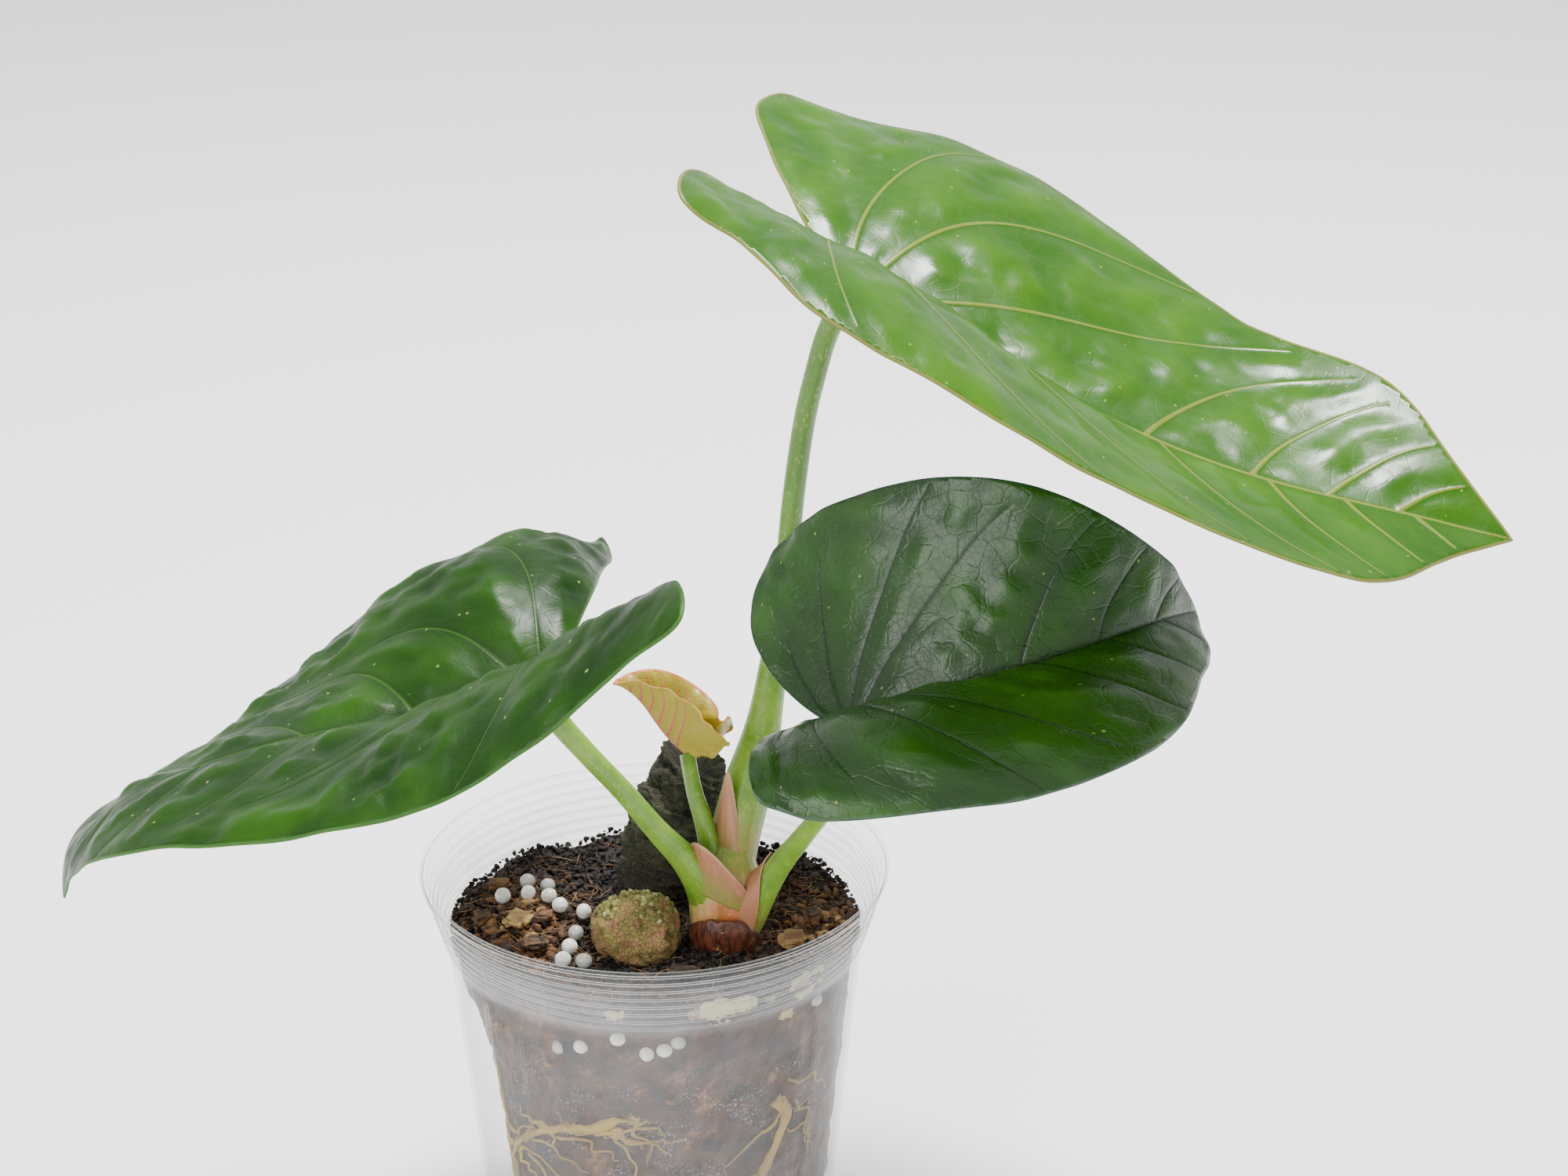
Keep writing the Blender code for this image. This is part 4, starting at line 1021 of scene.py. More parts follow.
def crown_finish():
    made = Finish("fleshy_crown", Roughness=0.42, Coat_Weight=0.15)
    made.shade(Subsurface_Weight=0.08, Subsurface_Scale=0.002)
    place = made.local()
    height = made.toned(made.noise(place, 190.0, 4.0), 0.5)
    colour = made.layers(height, FOOT_ORANGE, (0.46, 0.66, FOOT_CREAM), (0.66, 0.95, SHOOT_GREEN))
    pores = speckles(made, place, 1500.0, 0.30)
    colour = made.mix(made.times(pores, 0.35), colour, SHOOT_PORE)
    made.shade(Base_Color=colour, Normal=made.bump(made.noise(place, 1300.0, 3.0), 0.0002, 0.6))
    return made.material


def build_scale(name):
    """A thin bowed scale round its middle, between a foot line and a top line in mm over the soil."""
    made = ROUND_CROWN[name]
    radii, bearings, feet, tops = made["radii"], made["bearings"], made["feet"], made["tops"]
    steps, levels = 72, 26
    outer, inner, tone = [], [], []
    for step in range(steps):
        share = step / (steps - 1)
        turn = math.radians(bearings[0] + (bearings[1] - bearings[0]) * share)
        low = float(eased(np.linspace(0, 1, len(feet)), feet, share)) * 0.001
        top = float(eased(np.linspace(0, 1, len(tops)), tops, share)) * 0.001
        height = (top - low) * (1.0 + made["ragged"] * noise.noise(Vector((share * 9.0, tops[0], 1.0))))
        for level in range(levels):
            up = level / (levels - 1)
            crinkle = 0.00016 * noise.noise(Vector((share * 14.0, up * 3.0, feet[0])))
            reach = radii[0] + (radii[1] - radii[0]) * up + made["flare"] * up**3 + crinkle
            out = Vector((math.cos(turn), math.sin(turn), 0.0))
            outer.append(over_soil(made["centre"]) + out * reach + Vector((0.0, 0.0, low + height * up)))
            inner.append(outer[-1] - out * SHEATH_THICK)
            tone.append(up)
    return thin_sheet(name, outer, inner, steps, levels, tone)


def thin_sheet(name, outer, inner, steps, levels, tone):
    """Two rows-and-columns sheets of points, joined all round their edge."""
    count = len(outer)
    faces = []
    for step in range(steps - 1):
        for level in range(levels - 1):
            a = step * levels + level
            b, c, d = a + levels, a + levels + 1, a + 1
            faces.append((a, b, c, d))
            faces.append((a + count, d + count, c + count, b + count))
    border = [step * levels for step in range(steps)]
    border += [(steps - 1) * levels + level for level in range(1, levels)]
    border += [step * levels + levels - 1 for step in range(steps - 2, -1, -1)]
    border += range(levels - 2, 0, -1)
    for one, two in zip(border, border[1:] + border[:1]):
        faces.append((two, one, one + count, two + count))
    return mesh_from(name, outer + inner, faces, tone=tone + tone)


def scale_finish():
    made = Finish("papery_scale", Roughness=0.36)
    place = made.local()
    streak = made.noise(made.stretched(place, (2.4, 2.4, 0.7)), 420.0, 5.0, 0.6)
    crack = made.stretch(made.noise(place, 360.0, 5.0, 0.7, 1.4), 0.58, 0.64)
    colour = made.mix(made.stretch(streak, 0.35, 0.65), SCALE_DARK, SCALE_BROWN)
    colour = made.mix(made.times(crack, 0.6), colour, SCALE_CRACK)
    made.shade(Base_Color=colour, Normal=made.bump(made.minus(streak, crack), 0.0004, 0.8))
    return made.material


def sheath_finish():
    made = Finish("pink_sheath", Roughness=0.4, Coat_Weight=0.1)
    place = made.local()
    up = made.attribute("tone")
    streak = made.noise(made.stretched(place, (3.0, 3.0, 0.35)), 520.0, 4.0)
    colour = made.mix(made.stretch(up, 0.1, 0.8), SHEATH_OLIVE, SHEATH_PINK)
    colour = made.mix(made.stretch(streak, 0.50, 0.68, 0.0, 0.55), colour, SHEATH_STREAK)
    colour = made.mix(made.stretch(up, 0.90, 1.0, 0.0, 0.7), colour, SHEATH_EDGE)
    made.shade(Base_Color=colour, Normal=made.bump(streak, 0.0002, 0.6))
    return made.material


piece("shoot_crown", build_crown(), crown_finish(), "crown", slot="crown")
pink_sheath = sheath_finish()
piece("papery_scale", build_scale("basal_scale"), scale_finish(), "basal_scale", slot="papery_scale")
piece("front_sheath", build_scale("sheath_front"), pink_sheath, "sheath_front", slot="sheath")
piece("spear_sheath", build_scale("sheath_spear"), pink_sheath, "sheath_spear", slot="sheath")

# ---- the leaf stalks ----
# Round, fleshy stalks, light green with fine pale pores, widest where each wraps the crown. The right
# one has a groove down its upper side, darkened with painted shade as the young one's is, and a pink
# sheath's edge along its left, and the young one has a thin pale wing on each side.
STALK_GREEN = (0.105, 0.235, 0.010, 1.0)
STALK_PALE = (0.18, 0.33, 0.025, 1.0)
STALK_DEEP = (0.045, 0.13, 0.006, 1.0)
STALK_PORE = (0.42, 0.54, 0.16, 1.0)
STALK_GROOVE_SHADE = (0.05, 0.10, 0.02, 1.0)
STALK_WING = (0.62, 0.66, 0.28, 1.0)
# Where a stalk's groove and its two wings lie round it, in degrees.
GROOVE_TURN, WING_TURNS = 90, (40, 140)
# The sheath's edge on the right stalk: its stretch of the stalk, its turns round it, its gap and its bow.
SLEEVE_SHARES, SLEEVE_TURNS = (0.03, 0.35), (-40.0, 104.0)
SLEEVE_GAP, SLEEVE_BOW = 0.00035, 0.0016
# Routes are in mm from the soil's middle, and radii in mm at even steps along them.
STALKS = {
    "top": {
        "route": [(15.4, -5.2, 2), (15.8, -4.0, 10), (16.8, -2.4, 19), (19.4, -0.4, 30), (22.8, 3.6, 42),
                  (25.6, 9.4, 57), (28.2, 13.4, 76), (30.0, 14.2, 95), (33.6, 12.2, 118), (38.9, 8.4, 135),
                  (41.4, 6.4, 138.6)],
        "radii": (5.4, 5.4, 5.2, 3.6, 2.8, 2.5, 2.35, 2.3, 2.3, 2.4), "wings": 0.0, "groove": 0.05,
        "foot": (0.33, 0.27, 0.05, 1.0), "look": {"shaded": 0.75, "groove_shade": 0.0, "winged": 0.0},
    },
    "left": {
        "route": [(14.4, -6.8, 0), (13.2, -7.2, 7), (11.0, -8.2, 13.4), (7.8, -10.0, 19.2), (2.2, -12.4, 27),
                  (-5.6, -15.2, 38.8), (-13.2, -18.0, 49.4), (-18.4, -19.6, 57), (-20.8, -19.9, 61.4)],
        "radii": (5.6, 4.7, 3.3, 2.5, 2.25, 2.2, 2.3, 2.5), "wings": 0.06, "groove": 0.08,
        "foot": (0.22, 0.30, 0.03, 1.0), "look": {"shaded": 0.0, "groove_shade": 0.0, "winged": 0.15},
    },
    "right": {
        "route": [(17.8, -8.0, -1), (20.2, -9.4, 5), (23.0, -10.6, 12), (26.8, -12.4, 20), (32.2, -17.4, 30),
                  (38.2, -24.8, 43), (40.4, -29.2, 54), (41.0, -30.7, 59.6)],
        "radii": (3.2, 3.2, 2.7, 2.3, 2.05, 1.95, 1.95, 2.1), "wings": 0.10, "groove": 0.16,
        "foot": (0.30, 0.31, 0.05, 1.0), "look": {"shaded": 0.1, "groove_shade": 0.7, "winged": 0.2},
    },
    "young": {
        "route": [(13.8, -5.2, 10), (12.6, -5.4, 19), (10.8, -5.0, 27), (8.9, -3.4, 33), (7.8, -1.2, 38),
                  (7.4, 0.0, 40.0)],
        "radii": (2.6, 2.7, 2.1, 1.8, 1.6, 1.6), "wings": 0.24, "groove": 0.14,
        "foot": (0.22, 0.30, 0.03, 1.0), "look": {"shaded": 0.0, "groove_shade": 0.5, "winged": 0.55},
    },
}


def build_stalk(name):
    stalk = STALKS[name]
    rings, sides = 150, 48
    line = eased_route([over_soil(p) for p in stalk["route"]], rings)
    shares = np.linspace(0, 1, rings)
    radii = eased(np.linspace(0, 1, len(stalk["radii"])), stalk["radii"], shares) * 0.001

    def section(i, a):
        upper = math.exp(-((between(math.degrees(a), GROOVE_TURN) / 24) ** 2))
        wing = sum(math.exp(-((between(math.degrees(a), side) / 13) ** 2)) for side in WING_TURNS)
        fade = 1.0 - 0.65 * i / rings
        return 1.0 - stalk["groove"] * upper * fade + stalk["wings"] * wing * fade + 0.010 * math.sin(a * 16)

    points, faces = tube_points(line, list(radii), sides, section)
    round_turns = np.arange(sides) * 360 / sides
    groove = np.exp(-((between(round_turns, GROOVE_TURN) / 18) ** 2))
    wing = np.max([np.exp(-((between(round_turns, side) / 10) ** 2)) for side in WING_TURNS], axis=0)
    tones = {"tone": np.repeat(shares, sides), "groove": np.tile(groove, rings), "wing": np.tile(wing, rings)}
    return mesh_from("petiole_" + name, points, faces, **tones)


def stalk_finish(name, foot, shaded, groove_shade, winged):
    made = Finish("stalk_" + name, Roughness=0.40, Coat_Weight=0.15, Coat_Roughness=0.3)
    place = made.local()
    along = made.attribute("tone")
    drift = made.noise(place, 120.0, 3.0)
    colour = made.mix(made.stretch(drift, 0.35, 0.65), STALK_GREEN, STALK_PALE)
    colour = made.mix(made.times(made.stretch(along, 0.35, 0.75), shaded), colour, STALK_DEEP)
    blush = made.toned(made.noise(place, 230.0, 3.0), 0.10)
    colour = made.mix(made.stretch(blush, 0.22, 0.10), colour, foot)
    pores = speckles(made, place, 1150.0, 0.32)
    colour = made.mix(made.times(pores, 0.30), colour, STALK_PORE)
    # Painted shade down the groove on the stalk's upper side.
    colour = made.mix(made.times(made.attribute("groove"), groove_shade), colour, STALK_GROOVE_SHADE)
    colour = made.mix(made.times(made.attribute("wing"), winged), colour, STALK_WING)
    made.shade(Base_Color=colour, Normal=made.bump(made.noise(place, 1200.0, 3.0), 0.00022, 0.5))
    return made.material


def build_sleeve(name):
    """A sheath's free edge: a thin sleeve over the side of a stalk, narrowing to its upper end."""
    stalk = STALKS[name]
    steps, levels, marks = 60, 20, 400
    start, stop = SLEEVE_SHARES
    back, front = SLEEVE_TURNS
    line = eased_route([over_soil(p) for p in stalk["route"]], marks)
    outer, inner, tone = [], [], []
    for step in range(steps):
        along = step / (steps - 1)
        share = start + (stop - start) * along
        mark = int(share * (marks - 1))
        centre, ahead = Vector(line[mark]), Vector(line[mark + 1] - line[mark]).normalized()
        left = (Vector((-1.0, 0.0, 0.0)) + ahead * ahead.x).normalized()
        fore = ahead.cross(left)
        fore = fore if fore.y < 0 else -fore
        radius = float(eased(np.linspace(0, 1, len(stalk["radii"])), stalk["radii"], share)) * 0.001
        for level in range(levels):
            up = level / (levels - 1)
            reached = front + (back - front) * along**3.0
            turn = math.radians(back + (reached - back) * up)
            out = left * math.cos(turn) + fore * math.sin(turn)
            bow = math.sin(math.pi * min(1.0, along * 1.1 + 0.05)) * (1.0 - up) ** 1.5
            outer.append(centre + out * (radius + SLEEVE_GAP + SLEEVE_BOW * bow + SHEATH_THICK))
            inner.append(outer[-1] - out * SHEATH_THICK)
            tone.append(0.35 + 0.6 * max(along, up))
    return thin_sheet("sheath_" + name, outer, inner, steps, levels, tone)


for name, stalk in STALKS.items():
    made = stalk_finish(name, stalk["foot"], **stalk["look"])
    piece("stalk_" + name, build_stalk(name), made, "petiole_" + name, slot="petiole")
piece("right_sheath", build_sleeve("right"), pink_sheath, "sheath_right", slot="sheath")

# ---- the leaf blades ----
# Heart-shaped blades, each a thin living sheet folded along its midrib, bent along its length and quilted
# between its veins. Veins run from the stalk's end and from the midrib out to the margin.
LEAVES = {
    "top": {
        "junction": (41.4, 6.4, 138.2), "length": 141, "half_width": 72,
        "lobes": (43, 44), "lobe_spread": (43, 42), "stations": (0.4, 0.75),
        "pitch": (50, 23, 21, 11, 16), "heading": (-14, -14, -17, -8, 0), "roll": (-9, -12, -11, 4, 23),
        "fold": ((15, 44, 28, 22, 22), (28, 40, 12, 1, -1)),
        "curl": ((-5, -35, -10, 5, 10), (-45, -70, -25, -5, -10)),
        "full": ((0.17, 0.46, 0.67, 0.93, 0.93), (0.12, 0.41, 0.67, 0.96, 0.87)),
    },
    "left": {
        "junction": (-20.8, -19.9, 61.7), "length": 116, "half_width": 64,
        "lobes": (25, 23), "lobe_spread": (59, 61), "stations": (0.45, 0.8),
        "pitch": (6, 6, 10, 40, 84), "heading": (191, 185, 190, 180, 177), "roll": (18, -4, -2, -3, -16),
        "fold": ((62, 66, 14, -1, -5), (19, 49, -6, -10, 7)),
        "curl": ((-75, -90, -25, -5, 0), (0, -80, -15, -5, -10)),
        "full": ((0.11, 0.30, 0.65, 0.91, 1.05), (0.16, 0.18, 0.65, 1.02, 1.02)),
    },
    "right": {
        "junction": (41.0, -30.7, 59.9), "length": 88, "half_width": 49,
        "lobes": (20, 20), "lobe_spread": (27, 30), "stations": (0.35, 0.7),
        "pitch": (-4, -29, -14, -1, 19), "heading": (0, -6, 8, 38, 63), "roll": (-2, -4, 9, 28, 42),
        "fold": ((36, 44, 44, 41, 37), (54, 52, 36, 16, -4)),
        "curl": ((-5, 0, 5, 15, 15), (-95, -110, -90, -65, -40)),
        "full": ((0.15, 0.33, 0.70, 0.90, 0.98), (0.20, 0.32, 0.65, 0.94, 0.93)),
    },
    "young": {
        "junction": (7.9, 0.0, 39.6), "length": 24, "half_width": 14,
        "lobes": (4, 4), "lobe_spread": (7, 7), "stations": (0.5,),
        "pitch": (-36, -39, -59, -32), "heading": (181, 180, 183, 192), "roll": (2, -8, 1, 5),
        "fold": ((62, 62, 62, 64), (75, 88, 75, 67)), "curl": ((-5, 0, -5, 5), (0, 20, 0, 0)),
        "full": ((0.13, 0.36, 0.70, 0.93, 0.87), (0.18, 0.45, 0.76, 0.91, 0.86)),
    },
}
# Each side vein: where it leaves the midrib (share of the length), its headings from the midrib in
# degrees from start to end, and its length as a share of the blade's.
SIDE_VEINS = {
    "top": [(0.0, (25, 32, 24, 6), 0.70), (0.0, (78, 62, 25, -8), 0.66), (0.0, (114, 96, 72, 40), 0.54),
            (0.0, (136, 116, 88), 0.44), (0.46, (80, 55, 25, 5), 0.40), (0.62, (72, 48, 18), 0.28),
            (0.73, (60, 42, 18), 0.21), (0.83, (50, 34, 16), 0.14)],
    "left": [(0.0, (52, 40, 12, -6), 0.62), (0.0, (92, 84, 58, 15), 0.66), (0.0, (128, 112, 84), 0.40),
             (0.20, (66, 58, 22, 0), 0.42), (0.40, (62, 46, 16), 0.34), (0.60, (56, 40, 16), 0.26),
             (0.78, (50, 34, 14), 0.16)],
    "right": [(0.0, (40, 38, 34, 22), 0.62), (0.0, (68, 54, 50, 40), 0.60), (0.0, (96, 88, 76, 60), 0.48),
              (0.0, (126, 112, 92), 0.32), (0.42, (62, 46, 34), 0.38), (0.62, (58, 42, 28), 0.28),
              (0.80, (50, 36, 22), 0.16)],
    "young": [(0.0, (44, 34, 18), 0.66), (0.0, (72, 60, 40), 0.60), (0.0, (100, 90, 70), 0.50),
              (0.0, (128, 112, 92), 0.34), (0.14, (60, 48, 26), 0.56), (0.28, (60, 48, 24), 0.50),
              (0.42, (58, 44, 22), 0.42), (0.56, (55, 42, 20), 0.34), (0.69, (52, 38, 20), 0.26),
              (0.82, (48, 34, 18), 0.18)],
}
# In mm: the spacing of the sheet's points, the midrib's and the side veins' half widths and steps, the
# quilting's height and reach, the thickness, the margin's wave and the cross swell. A vein's rise is a
# share of its half width, and below zero it is sunk.
SHEETS = {
    "top": {
        "spacing": 1.25, "midrib": 0.85, "vein": 0.50, "steps": (0.7, 0.6), "rise": 0.55, "quilt": 1.15,
        "reach": 5.5, "thick": 0.34, "wave": 0.25, "cross": 0.42,
    },
    "left": {
        "spacing": 1.15, "midrib": 0.60, "vein": 0.30, "steps": (0.7, 0.6), "rise": -0.6, "quilt": 2.2,
        "reach": 5.4, "thick": 0.34, "wave": 0.30, "cross": 0.75,
    },
    "right": {
        "spacing": 1.05, "midrib": 0.55, "vein": 0.28, "steps": (0.7, 0.6), "rise": -0.9, "quilt": 1.05,
        "reach": 4.6, "thick": 0.34, "wave": 0.45, "cross": 0.32,
    },
    "young": {
        "spacing": 0.42, "midrib": 0.45, "vein": 0.26, "steps": (0.3, 0.25), "rise": 0.7, "quilt": 0.55,
        "reach": 1.2, "thick": 0.24, "wave": 0.95, "cross": 0.14,
    },
}


def half_outline(leaf, side, count):
    """Flat outline of one half in mm: a runs towards the tip, b outwards from the midrib."""
    length, width = leaf["length"], leaf["half_width"]
    lobe, spread = leaf["lobes"][side], leaf["lobe_spread"][side]
    full = leaf["full"][side]
    points = [
        (length, 0.0), (0.92 * length, full[0] * width), (0.80 * length, full[1] * width),
        (0.55 * length, full[2] * width), (0.26 * length, full[3] * width), (0.0, width),
        (-0.55 * lobe, full[4] * width), (-0.93 * lobe, spread + 0.26 * width),
        (-lobe, spread + 0.06 * width), (-0.86 * lobe, spread - 0.10 * width),
        (-0.50 * lobe, spread * 0.40), (-0.02 * length, 0.01 * length),
    ]
    return eased_route(points, count)


class BentBlade:
    """Carries flat blade points, in mm, onto the bent, folded and curled surface of one leaf."""

    SAMPLES = 300

    def __init__(self, leaf):
        self.leaf = leaf
        length, lobe = leaf["length"], max(leaf["lobes"])
        self.knots = [-lobe, 0.0, *[share * length for share in leaf["stations"]], length]
        self.along = np.linspace(-1.05 * lobe, 1.02 * length, self.SAMPLES)
        turns = [np.radians(eased(self.knots, leaf[key], self.along)) for key in ("pitch", "heading", "roll")]
        pitch, head, roll = turns
        flatness = np.cos(pitch)
        self.forward = np.stack([flatness * np.cos(head), flatness * np.sin(head), -np.sin(pitch)], -1)
        level = np.stack([-np.sin(head), np.cos(head), np.zeros_like(head)], -1)
        up = np.cross(self.forward, level)
        cosine, sine = np.cos(roll)[:, None], np.sin(roll)[:, None]
        self.left = level * cosine + up * sine
        self.up = up * cosine - level * sine
        steps = (self.forward[1:] + self.forward[:-1]) / 2 * (self.along[1] - self.along[0])
        spine = np.concatenate([[[0.0, 0.0, 0.0]], np.cumsum(steps, axis=0)])
        spine = spine - self.read(spine, np.zeros(1)) + np.array(leaf["junction"])
        self.spine = spine + (0, 0, SOIL_Z * 1000)

    def read(self, rows, at):
        return np.stack([np.interp(at, self.along, rows[:, k]) for k in range(3)], -1)

    def place(self, a, b):
        out, rise = np.zeros_like(a), np.zeros_like(a)
        for side, mine in ((0, b >= 0), (1, b < 0)):
            fold = np.radians(eased(self.knots, self.leaf["fold"][side], a[mine]))
            curl = np.radians(eased(self.knots, self.leaf["curl"][side], a[mine])) / self.leaf["half_width"]
            curl = np.where(np.abs(curl) < 1e-6, 1e-6, curl)
            reach = np.abs(b[mine])
            out[mine] = (np.sin(fold + curl * reach) - np.sin(fold)) / curl
            rise[mine] = (np.cos(fold) - np.cos(fold + curl * reach)) / curl
        out = out * np.where(b >= 0, 1.0, -1.0)
        across, above = self.read(self.left, a) * out[:, None], self.read(self.up, a) * rise[:, None]
        return self.read(self.spine, a) + across + above

    def outward(self, a, b, step=0.8):
        """The upper side's normal."""
        ahead = self.place(a + step, b) - self.place(a - step, b)
        beside = self.place(a, b + step) - self.place(a, b - step)
        normal = np.cross(ahead, beside)
        return normal / np.linalg.norm(normal, axis=1)[:, None]


def nearest(marks):
    """A quick search for the nearest of some flat points."""
    tree = kdtree.KDTree(len(marks))
    for spot, (a, b) in enumerate(marks):
        tree.insert((a, b, 0.0), spot)
    tree.balance()
    return tree


def inside_outline(outline, points):
    hit = np.zeros(len(points), bool)
    before = outline[-1]
    for now in outline:
        straddles = (now[1] > points[:, 1]) != (before[1] > points[:, 1])
        rise = before[1] - now[1]
        edge = (before[0] - now[0]) * (points[:, 1] - now[1]) / (rise if rise else 1e-9) + now[0]
        hit ^= straddles & (points[:, 0] < edge)
        before = now
    return hit


def vein_lines(name, outline):
    """Every vein as a flat line with its half width at each point: the midrib first."""
    leaf, sheet = LEAVES[name], SHEETS[name]
    length = leaf["length"]
    border = nearest(outline)
    midrib_step, step = sheet["steps"]
    run = np.arange(0.0, length - 1.0, midrib_step)
    lines = [(np.stack([run, np.zeros_like(run)], -1), sheet["midrib"] * (1.0 - 0.75 * run / length))]
    for sign in (1, -1):
        for start, headings, share in SIDE_VEINS[name]:
            count = int(share * length / step)
            if sign < 0:
                start = start + 0.025 * (start > 0)
            turn = np.radians(eased(np.linspace(0, 1, len(headings)), headings, np.linspace(0, 1, count)))
            sway = 0.05 * np.sin(np.linspace(0, 9, count) + start * 20 + sign)
            steps = np.stack([np.cos(turn + sway), np.sin(turn + sway)], -1) * step
            line = np.cumsum(steps, axis=0) + (start * length, 0.0)
            line = line * (1, sign)
            keep = inside_outline(outline, line)
            keep &= np.array([border.find((a, b, 0.0))[2] for a, b in line]) > sheet["vein"] * 3.0
            stop = len(line) if keep.all() else int(np.argmin(keep))
            if stop < 6:
                continue
            width = sheet["vein"] * (1.0 - 0.70 * np.arange(stop) / max(count, 1))
            lines.append((line[:stop], width))
    return lines


def swells(flat, fineness, layer, spread):
    """Smooth random ups and downs over flat points."""
    return np.array([noise.noise(Vector((x * fineness, y * fineness, layer)) / spread) for x, y in flat])


def build_blade(name):
    """A leaf's blade: its flat outline and veins are meshed, given relief, then bent into place."""
    leaf, sheet = LEAVES[name], SHEETS[name]
    bent = BentBlade(leaf)
    scale = leaf["length"] / LEAVES["top"]["length"]
    count = max(160, int(330 * scale))
    left, right = (half_outline(leaf, side, count) for side in (0, 1))
    outline = np.concatenate([left, (right * (1, -1))[::-1][:-1]])
    lines = vein_lines(name, outline)
    step = sheet["spacing"]
    marks = [tuple(p) for p in outline]
    edges = [(i, (i + 1) % len(marks)) for i in range(len(marks))]
    border, veins = nearest(outline), nearest(np.concatenate([line for line, _ in lines]))
    for line, width in lines:
        first = len(marks)
        marks += [tuple(p) for p in line]
        edges += [(first + i, first + i + 1) for i in range(len(line) - 1)]
        ahead = np.gradient(line, axis=0)
        beside = np.stack([-ahead[:, 1], ahead[:, 0]], -1) / np.linalg.norm(ahead, axis=1)[:, None]
        for reach in (1.0, 2.2):
            for sign in (1, -1):
                row = line + beside * (width * reach)[:, None] * sign
                for p, w in zip(row, width):
                    clear = veins.find((*p, 0.0))[2] > w * reach * 0.93 and border.find((*p, 0.0))[2] > 0.3
                    marks += [tuple(p)] if clear else []
    lows, highs = outline.min(0), outline.max(0)
    rows = np.arange(lows[0], highs[0], step * 0.866)
    columns = np.arange(lows[1], highs[1], step)
    grid = np.array([(a, b + (n % 2) * step / 2) for n, a in enumerate(rows) for b in columns])
    grid = grid[inside_outline(outline, grid)]
    kept = nearest(np.array(marks))
    marks += [tuple(p) for p in grid if kept.find((p[0], p[1], 0.0))[2] > step * 0.55]
    found = geometry.delaunay_2d_cdt([Vector(m) for m in marks], edges, [], 1, 1e-5)
    flat = np.array([tuple(v) for v in found[0]])
    triangles = np.array([f for f in found[2] if len(f) == 3])
    a, b = flat[:, 0], flat[:, 1]

    widths = np.concatenate([width for _, width in lines])
    hits = [veins.find((p[0], p[1], 0.0)) for p in flat]
    away = np.array([h[2] for h in hits])
    width = widths[[h[1] for h in hits]]
    margin = np.array([border.find((p[0], p[1], 0.0))[2] for p in flat])
    in_vein = np.exp(-((away / (width * 1.15)) ** 2))
    swell = 1.0 - np.exp(-((away / sheet["reach"]) ** 2))
    crosses = swells(flat, 0.12, 2.0, max(scale, 0.35)) + 0.22 * swells(flat, 0.34, 5.0, max(scale, 0.35))
    fade = 1.0 - np.exp(-((margin / (4.0 * max(scale, 0.2))) ** 2))
    wave = swells(flat, 0.09, 8.0, max(scale, 0.3))
    relief = sheet["quilt"] * swell * (0.55 + 0.45 * crosses) * fade + sheet["cross"] * crosses * fade * swell
    relief += sheet["rise"] * in_vein * width
    relief += sheet["wave"] * wave * np.exp(-margin / (7.0 * max(scale, 0.2))) * 2.0
    normal = bent.outward(a, b)
    upper = bent.place(a, b) + normal * relief[:, None]
    under = upper - normal * (sheet["thick"] + 1.3 * in_vein * width + 0.12 * (1 - in_vein))[:, None]
    points = np.concatenate([upper, under]) * 0.001
    count = len(flat)
    sides = np.concatenate([triangles[:, pair] for pair in ([0, 1], [1, 2], [2, 0])])
    sides = np.sort(sides, axis=1)
    once, times = np.unique(sides, axis=0, return_counts=True)
    lone = {tuple(e) for e in once[times == 1]}
    faces = [tuple(t) for t in triangles] + [tuple(t[::-1] + count) for t in triangles]
    for t in triangles:
        for one, two in ((t[0], t[1]), (t[1], t[2]), (t[2], t[0])):
            if (min(one, two), max(one, two)) in lone:
                faces.append((one, one + count, two + count, two))
    tones = {"vein": away / width, "margin": margin, "flat": np.stack([a, b, 0 * a], -1) * 0.001}
    # The swell is kept for the skin, where it lightens the green as painted light.
    tones["swell"] = swell * (0.5 + crosses)
    tones = {tone: np.concatenate([values, values]) for tone, values in tones.items()}
    under = np.concatenate([np.zeros(count), np.ones(count)])
    return mesh_from("blade_" + name, points, faces, under=under, **tones)


